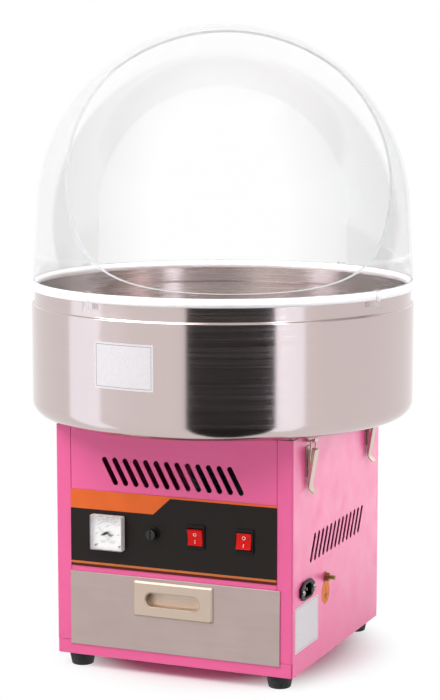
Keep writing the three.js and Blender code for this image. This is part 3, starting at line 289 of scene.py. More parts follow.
def revolve(profile: Sequence[Point], sides: int = 96) -> Solid:
    """Solid turned about Z from (radius, height) points.

    Args:
        profile: A closed loop, or a line whose two ends lie on the axis.
        sides: Number of steps round the axis.

    Returns:
        The solid, in millimetres.
    """
    solid = bmesh.new()
    rings = []
    for radius, height in profile:
        if radius == 0:
            rings.append([solid.verts.new((0, 0, height))] * sides)
        else:
            rings.append([solid.verts.new((x, y, height)) for x, y in circle(radius, sides=sides)])
    poles = profile[0][0] == 0 and profile[-1][0] == 0
    pairs = list(zip(rings, rings[1:]))
    if not poles:
        pairs.append((rings[-1], rings[0]))
    for below, above in pairs:
        for i in range(sides):
            corners = tuple(dict.fromkeys((below[i - 1], below[i], above[i], above[i - 1])))
            if len(corners) > 2:
                solid.faces.new(corners)
    bmesh.ops.recalc_face_normals(solid, faces=solid.faces)
    return solid


def shell(low: Place, high: Place, open_side: Vector, radius: float) -> Solid:
    """Outside of a box that is open on one side, with round edges.

    Args:
        low: Lowest corner.
        high: Highest corner.
        open_side: Direction of the open side.
        radius: Radius of its edges.

    Returns:
        The surface, ready for a wall thickness.
    """
    surface = bmesh.new()
    bmesh.ops.create_cube(surface, size=1.0)
    middle = (Vector(low) + Vector(high)) / 2
    size = Vector(high) - Vector(low)
    for vert in surface.verts:
        vert.co = Vector(a * b for a, b in zip(vert.co, size)) + middle
    surface.normal_update()
    opening = [face for face in surface.faces if face.normal.dot(open_side) > 0.9]
    bmesh.ops.delete(surface, geom=opening, context="FACES")
    inner = [edge for edge in surface.edges if not edge.is_boundary]
    bmesh.ops.bevel(surface, geom=inner, offset=radius, segments=4, profile=0.5, affect="EDGES")
    return surface


def joined(*solids: Solid) -> Solid:
    """Several solids as one, each keeping its own faces."""
    whole = bmesh.new()
    for solid in solids:
        part = bpy.data.meshes.new("part")
        solid.to_mesh(part)
        whole.from_mesh(part)
        bpy.data.meshes.remove(part)
        solid.free()
    return whole


def pose(place: Place, turn: float, about: str = "Z") -> Matrix:
    """Turn about an axis through the origin, in degrees, and then a move."""
    return Matrix.Translation(place) @ Matrix.Rotation(math.radians(turn), 4, about)


def moved(solid: Solid, place: Place, turn: float = 0.0, about: str = "Z") -> Solid:
    """Solid that has been turned and then moved."""
    bmesh.ops.transform(solid, matrix=pose(place, turn, about), verts=solid.verts)
    return solid


# Objects


def linked(name: str, data: bpy.types.ID) -> Thing:
    """Object in the scene that shows a mesh, text, lamp or camera."""
    thing = bpy.data.objects.new(name, data)
    bpy.context.scene.collection.objects.link(thing)
    return thing


def placed(name: str, solid: Solid) -> Thing:
    """Object made of a solid in millimetres.

    Args:
        name: Name of the object.
        solid: The solid, which is used up.

    Returns:
        The object.
    """
    bmesh.ops.scale(solid, vec=(MM, MM, MM), verts=solid.verts)
    mesh = bpy.data.meshes.new(name)
    solid.to_mesh(mesh)
    solid.free()
    return linked(name, mesh)


def worked_mesh(thing: Thing) -> bpy.types.Mesh:
    """Mesh of an object with its modifiers worked in."""
    bpy.context.view_layer.update()
    graph = bpy.context.evaluated_depsgraph_get()
    return bpy.data.meshes.new_from_object(thing.evaluated_get(graph), depsgraph=graph)


def baked(thing: Thing) -> Thing:
    """Object whose modifiers have become its mesh."""
    mesh = worked_mesh(thing)
    thing.modifiers.clear()
    thing.data = mesh
    return thing


def modified(thing: Thing, kind: str, **settings: object) -> Thing:
    """Object with one modifier worked into its mesh.

    Args:
        thing: The object.
        kind: Blender's name of the modifier type.
        settings: Properties of the modifier.

    Returns:
        The object.
    """
    modifier = thing.modifiers.new(kind.lower(), kind)
    for name, value in settings.items():
        setattr(modifier, name, value)
    return baked(thing)


def walled(name: str, surface: Solid, thickness: float) -> Thing:
    """Object made of a surface that is given a wall inwards, in millimetres."""
    thing = placed(name, surface)
    return modified(thing, "SOLIDIFY", thickness=thickness * MM, offset=-1.0, use_even_offset=True)


def cut(thing: Thing, cutter: Solid) -> Thing:
    """Object without the space that a cutter takes.

    Args:
        thing: The object.
        cutter: Solid that is cut away.

    Returns:
        The object.
    """
    tool = placed("cutter", cutter)
    modified(thing, "BOOLEAN", object=tool, operation="DIFFERENCE", solver="EXACT")
    bpy.data.objects.remove(tool)
    return thing


def softened(thing: Thing, width: float) -> Thing:
    """Object with its sharp edges rounded by a width in millimetres."""
    sharp = {"limit_method": "ANGLE", "angle_limit": math.radians(40), "use_clamp_overlap": True}
    return modified(thing, "BEVEL", width=width * MM, segments=2, **sharp)


def copied(node: str, width: float) -> Thing:
    """Copy of a CAD node with its flats merged and its edges rounded.

    Args:
        node: Name of the CAD node.
        width: Width of the rounded edges in millimetres.

    Returns:
        The new object.
    """
    solid = bmesh.new()
    solid.from_mesh(frame["nodes"][node].data)
    bmesh.ops.remove_doubles(solid, verts=solid.verts, dist=0.002 * MM)
    bmesh.ops.dissolve_limit(solid, angle_limit=math.radians(1), verts=solid.verts, edges=solid.edges)
    bmesh.ops.scale(solid, vec=(1 / MM,) * 3, verts=solid.verts)
    return softened(placed(f"{node}_piece", solid), width)


def fit(tree: Tree, node: Node, inputs: Inputs) -> Node:
    """Sets or links inputs of a node; a node given as a value stands for its first output.

    Args:
        tree: Tree of the node.
        node: The node.
        inputs: Value, socket or node for each input.

    Returns:
        The node.
    """
    for key, value in inputs.items():
        if isinstance(value, Node):
            value = value.outputs[0]
        if isinstance(value, Socket):
            tree.links.new(value, node.inputs[key])
        else:
            node.inputs[key].default_value = value
    return node


def add_node(tree: Tree, kind: str, inputs: Inputs | None = None, **settings: object) -> Node:
    """Adds a node with its settings, values and links.

    Args:
        tree: Tree that it goes into.
        kind: Blender's name of the node type, where ShaderNode is left out at its start.
        inputs: Value, socket or node for each named or numbered input.
        settings: Properties of the node.

    Returns:
        The node.
    """
    node = tree.nodes.new(kind if "Node" in kind else f"ShaderNode{kind}")
    for name, value in settings.items():
        setattr(node, name, value)
    return fit(tree, node, inputs or {})


def linear(colour: str) -> tuple[float, float, float, float]:
    """Turns an sRGB hex colour into linear light."""
    channels = [int(colour[i : i + 2], 16) / 255 for i in (1, 3, 5)]
    light = [c / 12.92 if c <= 0.04045 else ((c + 0.055) / 1.055) ** 2.4 for c in channels]
    return (*light, 1.0)


# Finishes


@dataclass
class Skin:
    """Material in the making: its tree, its main shader, and the position in millimetres."""

    tree: Tree
    shader: Node
    place: Socket

    @property
    def add(self) -> Callable[..., Node]:
        """Function that adds a node to the material's tree."""
        return functools.partial(add_node, self.tree)

    def fit(self, inputs: Inputs) -> None:
        """Sets or links inputs of the main shader."""
        fit(self.tree, self.shader, inputs)

    def wander(self, size: float, low: float = 0.0, high: float = 1.0, place: Socket | None = None) -> Socket:
        """Value that wanders between two limits.

        Args:
            size: Distance over which it changes, in millimetres.
            low: Lower limit.
            high: Upper limit.
            place: Position in millimetres, where it isn't the plain one.

        Returns:
            The socket with the value.
        """
        where = self.place if place is None else place
        noise = self.add("TexNoise", {"Vector": where, "Scale": 1 / size, "Detail": 3.0})
        inputs = {"Value": noise, "From Min": 0.3, "From Max": 0.7, "To Min": low, "To Max": high}
        return self.add("MapRange", inputs).outputs[0]

    def tint(self, colour: str | Socket, value: Socket | Node) -> None:
        """Gives the shader a colour whose brightness follows a value."""
        plain = linear(colour) if isinstance(colour, str) else colour
        self.fit({"Base Color": self.add("HueSaturation", {"Color": plain, "Value": value})})

    def relief(self, height: Socket, depth: float) -> None:
        """Gives the shader a relief of a depth in millimetres."""
        inputs = {"Height": height, "Distance": depth * MM, "Strength": 1.0}
        self.fit({"Normal": self.add("Bump", inputs)})

    def draw_out(self, anisotropy: float) -> None:
        """Makes the shader a metal whose reflections are drawn out upwards."""
        tangent = self.add("Tangent", direction_type="RADIAL", axis="Z")
        quarter_turn = 0.25
        self.fit({
            "Metallic": 1.0, "Anisotropic": anisotropy, "Anisotropic Rotation": quarter_turn,
            "Tangent": tangent,
        })


class Finish:
    """Base of every finish."""

    name: str

    def dress(self, skin: Skin) -> None:
        """Puts the finish behind the shader.

        Args:
            skin: The material in the making.
        """
        raise NotImplementedError


@functools.cache
def material_of(finish: Finish) -> bpy.types.Material:
    """Material of a finish, made once, with its patterns laid out in millimetres."""
    material = bpy.data.materials.new(finish.name)
    material.use_nodes = True
    tree = material.node_tree
    own = add_node(tree, "TexCoord").outputs["Object"]
    place = add_node(tree, "VectorMath", {0: own, "Scale": 1 / MM}, operation="SCALE")
    finish.dress(Skin(tree, tree.nodes["Principled BSDF"], place.outputs[0]))
    return material


@dataclass(frozen=True)
class PowderCoat(Finish):
    """Polyester powder coat on mild steel: even, half gloss, with the shallow ripple of orange peel."""

    name: str = "powder_coated_steel"
    colour: str = "#EE609B"
    drift: float = 110.0
    cloud: float = 28.0
    gloss: Point = (0.33, 0.42)
    ripple: float = 3.2
    depth: float = 0.012

    def dress(self, skin: Skin) -> None:
        """Even colour with broad drift, gloss that varies a little, and a ripple some 3 mm across."""
        skin.tint(self.colour, skin.wander(self.drift, 0.97, 1.03))
        skin.fit({"Roughness": skin.wander(self.cloud, *self.gloss), "IOR": 1.52})
        skin.relief(skin.wander(self.ripple), self.depth)


@dataclass(frozen=True)
class BrushedSteel(Finish):
    """Stainless sheet brushed in one direction: level hair lines a few centimetres long."""

    name: str = "brushed_stainless"
    colour: str = "#B2A09C"
    line: float = 0.8
    run: float = 60.0
    cloud: float = 45.0
    anisotropy: float = 0.6
    depth: float = 0.004

    def dress(self, skin: Skin) -> None:
        """Hair lines in tone, gloss and relief; the lines are drawn coarser than life so that they show."""
        add = skin.add
        stretch = (self.line / self.run, 1.0, 1.0)
        along = add("Mapping", {"Vector": skin.place, "Scale": stretch})
        lines = skin.wander(self.line, place=along.outputs[0])
        cloud = skin.wander(self.cloud, -0.03, 0.03)
        tone = add("Math", {0: lines, 1: 0.05, 2: cloud}, operation="MULTIPLY_ADD")
        skin.tint(self.colour, add("Math", {0: tone, 1: 0.97}))
        gloss = add("Math", {0: lines, 1: 0.1, 2: 0.3}, operation="MULTIPLY_ADD")
        skin.fit({"Roughness": gloss})
        skin.draw_out(self.anisotropy)
        skin.relief(lines, self.depth)


@dataclass(frozen=True)
class SpunSteel(Finish):
    """Stainless sheet spun on a lathe and buffed: fine rings that draw reflections out upwards."""

    name: str = "spun_stainless"
    colour: str = "#CBBCBA"
    ring: float = 1.1
    roughness: float = 0.155
    anisotropy: float = 0.8
    depth: float = 0.0005

    def dress(self, skin: Skin) -> None:
        """Rings by radius and height, spaced wider than life, that drift slowly round the axis."""
        add = skin.add
        parts = add("SeparateXYZ", {"Vector": skin.place}).outputs
        flat = add("CombineXYZ", {"X": parts["X"], "Y": parts["Y"]})
        radius = add("VectorMath", {0: flat}, operation="LENGTH").outputs["Value"]
        around = add("VectorMath", {0: flat}, operation="NORMALIZE")
        bearing = add("SeparateXYZ", {"Vector": around}).outputs
        rings = add("Math", {0: parts["Z"], 1: radius}, operation="ADD")
        scaled = add("Math", {0: rings, 1: self.ring}, operation="DIVIDE")
        course = add("CombineXYZ", {"X": bearing["X"], "Y": bearing["Y"], "Z": scaled})
        lines = add("TexNoise", {"Vector": course, "Scale": 1.0, "Detail": 2.0}).outputs[0]
        tone, gloss = (
            add("MapRange", {
                "Value": lines, "From Min": 0.3, "From Max": 0.7, "To Min": low, "To Max": high,
            })
            for low, high in ((0.985, 1.01), (self.roughness - 0.03, self.roughness + 0.04))
        )
        skin.tint(self.colour, tone)
        skin.fit({"Roughness": gloss})
        skin.draw_out(self.anisotropy)
        skin.relief(lines, self.depth)


@dataclass(frozen=True)
class PlatedMetal(Finish):
    """Pressed, cast or turned metal with a plated or bare skin: a clouded gloss over small marks."""

    name: str
    colour: str
    roughness: float = 0.3
    cloud: float = 6.0
    mark: float = 1.2
    depth: float = 0.003
    contrast: float = 0.05

    def dress(self, skin: Skin) -> None:
        """Clouds in tone and gloss, and small marks in relief."""
        skin.tint(self.colour, skin.wander(self.cloud, 1.0 - self.contrast, 1.0 + self.contrast))
        gloss = skin.wander(self.cloud / 2, self.roughness - 0.05, self.roughness + 0.07)
        skin.fit({"Roughness": gloss, "Metallic": 1.0})
        skin.relief(skin.wander(self.mark), self.depth)


@dataclass(frozen=True)
class MouldedPlastic(Finish):
    """Injection-moulded ABS or polyamide: an even colour under the fine grain of a spark-eroded mould."""

    name: str
    colour: str
    roughness: float = 0.4
    grain: float = 0.7
    depth: float = 0.006
    subsurface: float = 0.0
    coat: float = 0.0
    gloss: float = 0.5

    def dress(self, skin: Skin) -> None:
        """Grain drawn near 0.7 mm, coarser than life so that it shows."""
        skin.tint(self.colour, skin.wander(9.0, 0.95, 1.05))
        skin.fit({
            "Roughness": skin.wander(5.0, self.roughness - 0.05, self.roughness + 0.06),
            "IOR": 1.53, "Specular IOR Level": self.gloss,
            "Subsurface Weight": self.subsurface, "Subsurface Scale": 1.5 * MM, "Coat Weight": self.coat,
        })
        skin.relief(skin.wander(self.grain), self.depth)


@dataclass(frozen=True)
class Rubber(Finish):
    """Moulded black rubber: matt, with a dusty bloom."""

    name: str = "moulded_rubber"
    colour: str = "#1B1A1A"
    pit: float = 0.9
    depth: float = 0.03

    def dress(self, skin: Skin) -> None:
        """Bloom in patches and a pitted skin."""
        skin.tint(self.colour, skin.wander(5.0, 0.8, 1.5))
        skin.fit({"Roughness": skin.wander(7.0, 0.6, 0.8)})
        skin.relief(skin.wander(self.pit), self.depth)


@dataclass(frozen=True)
class ClearAcrylic(Finish):
    """Acrylic sheet: clear and glossy, with faint wipe marks, and it lets lamp light straight through."""

    name: str = "clear_acrylic"
    colour: str = "#FFFFFF"
    thinness: float = 0.5  # share of the rays that a thin sheet doesn't bend at all

    def dress(self, skin: Skin) -> None:
        """Refracting shader that is plainly transparent to shadows and scattered light."""
        add, clear = skin.add, self.clearness(skin)
        skin.tint(self.colour, clear)
        skin.fit({"Roughness": skin.wander(30.0, 0.0, 0.03), "Transmission Weight": 1.0, "IOR": 1.49})
        path = add("LightPath").outputs
        rays = {0: path["Is Shadow Ray"], 1: path["Is Diffuse Ray"]}
        passing = add("Math", rays, operation="MAXIMUM")
        share = add("Math", {0: passing, 1: self.thinness}, operation="MAXIMUM")
        through = add("BsdfTransparent", {"Color": clear})
        both = add("MixShader", {0: share, 1: skin.shader, 2: through})
        fit(skin.tree, skin.tree.nodes["Material Output"], {"Surface": both})

    def clearness(self, skin: Skin) -> Socket:
        """Share of light let through, place by place."""
        return skin.wander(140.0, 0.995, 1.0)


@dataclass(frozen=True)
class BlownAcrylic(ClearAcrylic):
    """Acrylic blown into a dome, with painted shade: grey round a clear oval in the rear wall, and in the
    front more to the right.
    """

    name: str = "blown_acrylic"
    thinness: float = 0.9
    turn: float = 26.5
    middle: Place = (7.2, 3.6, 573.0)
    flatness: float = 0.54
    start: float = 100.0
    full: float = 233.0
    gone: float = 239.0
    loss: float = 0.1
    side_loss: Point = (0.03, 0.07)
    blend: float = 30.0

    def clearness(self, skin: Skin) -> Socket:
        """Share of light let through, with painted shade: each wall loses its own share, and the front one
        more to the right.
        """
        add = skin.add
        centred = add("VectorMath", {0: skin.place, 1: self.middle}, operation="SUBTRACT")
        turn = {"Vector": centred, "Angle": -math.radians(self.turn)}
        own = add("VectorRotate", turn, rotation_type="Z_AXIS")
        reaches = []
        for share in (self.flatness, 1.0):
            seen = add("VectorMath", {0: own, 1: (1.0, 0.0, share)}, operation="MULTIPLY")
            reaches.append(add("VectorMath", {0: seen}, operation="LENGTH").outputs["Value"])
        parts = add("SeparateXYZ", {"Vector": own}).outputs
        # painted shade: grey round the clear oval in the rear wall
        painted_grey = add("MapRange", {
            "Value": reaches[0], "From Min": self.start, "From Max": self.full, "To Max": self.loss,
        })
        edge = add("MapRange", {"Value": reaches[1], "From Min": self.gone, "From Max": self.full})
        rear = add("MapRange", {"Value": parts["Y"], "From Max": self.blend})
        both = add("Math", {0: edge, 1: rear}, operation="MULTIPLY")
        # painted shade: the front wall greyer towards the right
        side = add("MapRange", {
            "Value": parts["X"], "From Min": -self.gone, "From Max": self.gone,
            "To Min": self.side_loss[0], "To Max": self.side_loss[1],
        })
        front = add("MapRange", {
            "Value": parts["Y"], "From Min": -self.blend, "From Max": 0.0, "To Min": side, "To Max": 0.0,
        })
        painted_shade = add("Math", {0: painted_grey, 1: both, 2: front}, operation="MULTIPLY_ADD")
        return add("Math", {0: 1.0, 1: painted_shade}, operation="SUBTRACT").outputs[0]


@dataclass(frozen=True)
class PrintedSheet(Finish):
    """Screen-printed polycarbonate sheet: satin black with an orange band and lines, and dark red along its
    bottom edge.
    """

    name: str = "printed_polycarbonate"
    ground: str = "#1C1512"
    band: str = "#E86A2C"
    line: str = "#C8703A"
    stripe: str = "#5A160C"
    high: float = 241.45
    band_bottom: float = 216.4
    band_corner: float = -26.4
    band_lean: float = 1.08
    top_line: float = 2.6
    line_low: float = 142.6
    line_high: float = 145.6

    def dress(self, skin: Skin) -> None:
        """Printed areas by their height and their distance across the sheet."""
        add = skin.add
        parts = add("SeparateXYZ", {"Vector": skin.place}).outputs
        x, z = parts["X"], parts["Z"]
        limit = self.band_corner - self.band_lean * self.band_bottom
        lean = add("Math", {0: z, 1: -self.band_lean, 2: x}, operation="MULTIPLY_ADD")
        in_band = add("Math", {0: lean, 1: limit}, operation="LESS_THAN")
        above = add("Math", {0: z, 1: self.band_bottom}, operation="GREATER_THAN")
        band = add("Math", {0: in_band, 1: above}, operation="MULTIPLY")
        top = add("Math", {0: z, 1: self.high - self.top_line}, operation="GREATER_THAN")
        orange = add("Math", {0: band, 1: top}, operation="MAXIMUM")
        below = add("Math", {0: z, 1: self.line_high}, operation="LESS_THAN")
        low = add("Math", {0: z, 1: self.line_low}, operation="LESS_THAN")
        colour = linear(self.ground)
        for share, ink in ((orange, self.band), (below, self.line), (low, self.stripe)):
            inputs = {0: share, 6: colour, 7: linear(ink)}
            colour = add("Mix", inputs, data_type="RGBA").outputs[2]
        skin.tint(colour, skin.wander(35.0, 0.95, 1.06))
        skin.fit({"Roughness": skin.wander(12.0, 0.42, 0.52), "Specular IOR Level": 0.2})
        skin.relief(skin.wander(1.5), 0.004)


@dataclass(frozen=True)
class PrintedInk(Finish):
    """Screen ink or vinyl in one colour: flat, with slightly uneven cover."""

    name: str
    colour: str
    roughness: float = 0.5

    def dress(self, skin: Skin) -> None:
        """Uneven cover in tone and gloss."""
        skin.tint(self.colour, skin.wander(3.0, 0.96, 1.03))
        skin.fit({"Roughness": skin.wander(8.0, self.roughness - 0.05, self.roughness + 0.05)})
        skin.relief(skin.wander(1.0), 0.004)


PINK_COAT = PowderCoat()
DRAWER_STEEL = BrushedSteel()
BOWL_STEEL = SpunSteel()
INSIDE_STEEL = SpunSteel("satin_spun_stainless", "#C2B5B2", 1.6, 0.25, 0.93)
# near-white colour on the stainless rim is a painted highlight, so that the rolled rim shows bright all round
RIM_PAINTED_HIGHLIGHT = PlatedMetal("buffed_stainless_rim", "#FFFDFD", 0.66, 20.0, 1.5, 0.0005, 0.01)
DECK_STEEL = PlatedMetal("zinc_plated_sheet", "#8C8781", 0.34, 14.0)
LATCH_STEEL = PlatedMetal("zinc_plated_latch", "#DED2C2", 0.42, 5.0, 0.9, 0.0008, 0.04)
SCREW_STEEL = PlatedMetal("zinc_plated_screw", "#BDB8B0", 0.28, 2.0, 0.6)
NICKEL = PlatedMetal("satin_nickel_plate", "#CBB8A8", 0.46, 30.0, 1.4, 0.0001, 0.01)
TURNED_ALUMINIUM = PlatedMetal("turned_aluminium", "#CBCCCC", 0.28, 12.0, 0.8)
BRASS = PlatedMetal("plain_brass", "#A68A5A", 0.34, 4.0)
NICHROME = PlatedMetal("oxidised_nichrome", "#6E655C", 0.45, 4.0)
MOTOR_ENAMEL = MouldedPlastic("baked_motor_enamel", "#3A3D40", 0.42, 1.2, 0.02)
BLACK_ABS = MouldedPlastic("black_moulded_plastic", "#0C0B0B", 0.36, gloss=0.2)
GLOSS_BLACK = MouldedPlastic("polished_black_plastic", "#0E0D0D", 0.14, 0.7, 0.001)
WHITE_ABS = MouldedPlastic("white_moulded_plastic", "#EFEFEC", 0.35, coat=0.3)
RED_POLYCARBONATE = MouldedPlastic("red_translucent_plastic", "#D2100A", 0.3, 0.6, 0.001, 0.1, gloss=0.15)
RUBBER = Rubber()
ACRYLIC = ClearAcrylic()
DOME_ACRYLIC = BlownAcrylic()
SANDED_ACRYLIC = MouldedPlastic("sanded_acrylic_edge", "#DADCDC", 0.55, 0.8, 0.01, 0.3)
MILKY_ACRYLIC = MouldedPlastic("milky_acrylic", "#F0EEF0", 0.3, 0.8, 0.002, 0.3)
OVERLAY_PRINT = PrintedSheet()
WHITE_INK = PrintedInk("white_ink", "#FBFAF9")
BLACK_INK = PrintedInk("black_ink", "#1E1D1D")
WHITE_VINYL = PrintedInk("white_vinyl", "#E4E0E4", 0.35)
DIAL_GREY = PrintedInk("pale_grey_ink", "#D8D0D6", 0.5)
GREY_INK = PrintedInk("grey_ink", "#9A9499", 0.4)
ORANGE_VINYL = PrintedInk("orange_vinyl", "#EE7A1C", 0.5)

SLOTS = {
    "pink_powder_coat": [PINK_COAT],
    "stainless_brushed": [DRAWER_STEEL],
    "stainless_spun": [BOWL_STEEL],
    "steel_zinc": [DECK_STEEL, LATCH_STEEL, SCREW_STEEL],
    "nickel_plate": [NICKEL],
    "aluminium_turned": [TURNED_ALUMINIUM],
    "brass_plain": [BRASS],
    "nichrome_ribbon": [NICHROME],
    "motor_enamel": [MOTOR_ENAMEL],
    "plastic_black": [BLACK_ABS, GLOSS_BLACK, BLACK_INK, GREY_INK],
    "plastic_white": [WHITE_ABS, WHITE_INK, DIAL_GREY],
    "plastic_red": [RED_POLYCARBONATE],
    "rubber_black": [RUBBER],
    "acrylic_clear": [ACRYLIC, DOME_ACRYLIC],
    "printed_sheet": [OVERLAY_PRINT, WHITE_VINYL, ORANGE_VINYL],
}
SLOT_OF = {finish: name for name, finishes in SLOTS.items() for finish in finishes}


def dressed(
    thing: Thing, finish: Finish, node: str = "", body: str = "cabinet", slot_name: str = ""
) -> Thing:
    """Gives a piece its shading and finish, and ties it to the frame.

    Args:
        thing: The piece, in place.
        finish: Its finish.
        node: CAD node that it stands for, if any.
        body: CAD body that it rides on.
        slot_name: Material slot, where it isn't the finish's usual one; not used.

    Returns:
        The piece.
    """
    mesh = thing.data
    mesh.materials.clear()
    mesh.materials.append(material_of(finish))
    mesh.shade_smooth()
    mesh.set_sharp_from_angle(angle=SMOOTH_ANGLE)
    modified(thing, "WEIGHTED_NORMAL", keep_sharp=True, weight=80)
    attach(thing, body)
    slot_name or SLOT_OF[finish]
    if node:
        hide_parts(node)
    log.info("%s: %d faces on %s", thing.name, len(thing.data.polygons), body)
    return thing


def piece(
    name: str, solid: Solid, finish: Finish, node: str = "", body: str = "cabinet", slot_name: str = ""
) -> Thing:
    """Makes a piece of a solid in millimetres and dresses it."""
    return dressed(placed(name, solid), finish, node, body, slot_name)


def refinished(thing: Thing, finish: Finish, chosen: Callable[[Face], bool]) -> None:
    """Gives another finish to some faces of a dressed piece.

    Args:
        thing: The piece.
        finish: Finish of those faces.
        chosen: Tells whether a face is one of them.
    """
    thing.data.materials.append(material_of(finish))
    last = len(thing.data.materials) - 1
    for face in thing.data.polygons:
        if chosen(face):
            face.material_index = last


# Geometry Nodes


class Growth:
    """Geometry Nodes tree with named inputs, worked into an object's mesh."""

    def __init__(self, name: str, inputs: dict[str, str]) -> None:
        """Starts the tree.

        Args:
            name: Name of the tree.
            inputs: Kind of each input between the geometry and the material.
        """
        self.tree = bpy.data.node_groups.new(name, "GeometryNodeTree")
        for label, kind in {"Geometry": "Geometry", **inputs, "Material": "Material"}.items():
            self.tree.interface.new_socket(label, in_out="INPUT", socket_type=f"NodeSocket{kind}")
        self.tree.interface.new_socket("Geometry", in_out="OUTPUT", socket_type="NodeSocketGeometry")
        self.add = functools.partial(add_node, self.tree)
        self.given = self.add("NodeGroupInput").outputs

    def end(self, geometry: Node) -> None:
        """Ends the tree in Realize Instances and Set Material."""
        real = self.add("GeometryNodeRealizeInstances", {"Geometry": geometry})
        made = {"Geometry": real, "Material": self.given["Material"]}
        self.add("NodeGroupOutput", {0: self.add("GeometryNodeSetMaterial", made)})

    def cut_out(self, blocks: Inputs, shift: Inputs) -> None:
        """Sets blocks on points, moves them together, cuts them out of the geometry and ends the tree.

        Args:
            blocks: Inputs that set the blocks on points.
            shift: Inputs that move them.
        """
        placed_blocks = self.add("GeometryNodeInstanceOnPoints", blocks)
        real = self.add("GeometryNodeRealizeInstances", {"Geometry": placed_blocks})
        there = self.add("GeometryNodeTransform", {"Geometry": real, **shift})
        both = {0: self.given["Geometry"], 1: there}
        self.end(self.add("GeometryNodeMeshBoolean", both, operation="DIFFERENCE", solver="EXACT"))

    def grow(self, thing: Thing, finish: Finish, values: dict[str, object]) -> Thing:
        """Runs the tree on an object and keeps the result as its mesh.

        Args:
            thing: Object that the tree starts from.
            finish: Finish of what it makes.
            values: Value of each named input.

        Returns:
            The object.
        """
        modifier = thing.modifiers.new(self.tree.name, "NODES")
        modifier.node_group = self.tree
        given = {**values, "Material": material_of(finish)}
        for item in self.tree.interface.items_tree:
            if item.in_out == "INPUT" and item.name in given:
                modifier[item.identifier] = given[item.name]
        return baked(thing)


class SlotRow(Growth):
    """Row of slanted ventilation slots cut through a sheet."""

    def __init__(self) -> None:
        """Builds the tree: two cylinders make one slot, which is set along a row and cut out."""
        super().__init__("slot_row", {
            "Count": "Int", "Pitch": "Float", "Slot Width": "Float", "Reach": "Float", "Slant": "Float",
            "Depth": "Float", "Middle": "Vector", "Turn": "Vector",
        })
        add, given = self.add, self.given
        radius = add("Math", {0: given["Slot Width"], 1: 2.0}, operation="DIVIDE")
        round_end = {"Vertices": 20, "Radius": radius, "Depth": given["Depth"]}
        barrel = add("GeometryNodeMeshCylinder", round_end, fill_type="NGON")
        both = add("GeometryNodeJoinGeometry")
        for sign in (-0.5, 0.5):
            lean = add("Math", {0: given["Slant"], 1: sign}, operation="MULTIPLY")
            rise = add("Math", {0: given["Reach"], 1: 2 * sign}, operation="MULTIPLY")
            shift = add("CombineXYZ", {"X": lean, "Z": rise})
            flat = {"Geometry": barrel, "Translation": shift, "Rotation": FACING_FRONT}
            fit(self.tree, both, {0: add("GeometryNodeTransform", flat)})
        one = add("GeometryNodeConvexHull", {0: both})
        back = add("Math", {0: given["Count"], 1: -0.5, 2: 0.5}, operation="MULTIPLY_ADD")
        start = add("Math", {0: back, 1: given["Pitch"]}, operation="MULTIPLY")
        first = add("CombineXYZ", {"X": start})
        step = add("CombineXYZ", {"X": given["Pitch"]})
        line = {"Count": given["Count"], "Start Location": first, "Offset": step}
        row = add("GeometryNodeMeshLine", line, mode="OFFSET")
        shift = {"Translation": given["Middle"], "Rotation": given["Turn"]}
        self.cut_out({"Points": row, "Instance": one}, shift)


class ScrewSet(Growth):
    """Cross-recessed screw heads standing on points."""

    def __init__(self) -> None:
        """Builds the tree: a turned head with a cross cut into it, set on each point at a random turn."""
        inputs = {"Radius": "Float", "Height": "Float", "Facing": "Vector", "Seed": "Int"}
        super().__init__("screw_set", inputs)
        add, given = self.add, self.given
        radius, height = given["Radius"], given["Height"]
        crown = add("Math", {0: radius, 1: 0.7}, operation="MULTIPLY")
        body = {"Vertices": 20, "Radius Top": crown, "Radius Bottom": radius, "Depth": height}
        head = add("GeometryNodeMeshCone", body, fill_type="NGON")
        width = add("Math", {0: radius, 1: 0.26}, operation="MULTIPLY")
        bar_size = add("CombineXYZ", {"X": radius, "Y": width, "Z": height})
        bar = add("GeometryNodeMeshCube", {"Size": bar_size})
        rise = add("Math", {0: height, 1: 0.9}, operation="MULTIPLY")
        lift = add("CombineXYZ", {"Z": rise})
        for turn in (0.0, math.pi / 2):
            across = {"Geometry": bar, "Translation": lift, "Rotation": (0.0, 0.0, turn)}
            both = {0: head, 1: add("GeometryNodeTransform", across)}
            head = add("GeometryNodeMeshBoolean", both, operation="DIFFERENCE", solver="EXACT")
        limits = {2: 0.0, 3: math.pi, "Seed": given["Seed"]}
        spin = add("FunctionNodeRandomValue", limits, data_type="FLOAT").outputs[1]
        own = add("CombineXYZ", {"Z": spin})
        facing = add("FunctionNodeRotateEuler", {0: given["Facing"], 1: own}, space="LOCAL")
        heads = {"Points": given["Geometry"], "Instance": head, "Rotation": facing}
        self.end(add("GeometryNodeInstanceOnPoints", heads))

    def fix(
        self, name: str, points: Sequence[Place], size: Point, facing: Place, seed: int,
        finish: Finish = SCREW_STEEL,
    ) -> None:
        """Sets and dresses the screw heads of one piece.

        Args:
            name: Name of the piece.
            points: Middle of each head.
            size: Radius and height of a head.
            facing: Turn that faces a head outwards.
            seed: Seed of their random turns.
            finish: Their finish.
        """
        spots = bmesh.new()
        for point in points:
            spots.verts.new(point)
        sizes = {"Radius": size[0] * MM, "Height": size[1] * MM, "Facing": facing, "Seed": seed}
        dressed(self.grow(placed(name, spots), finish, sizes), finish)


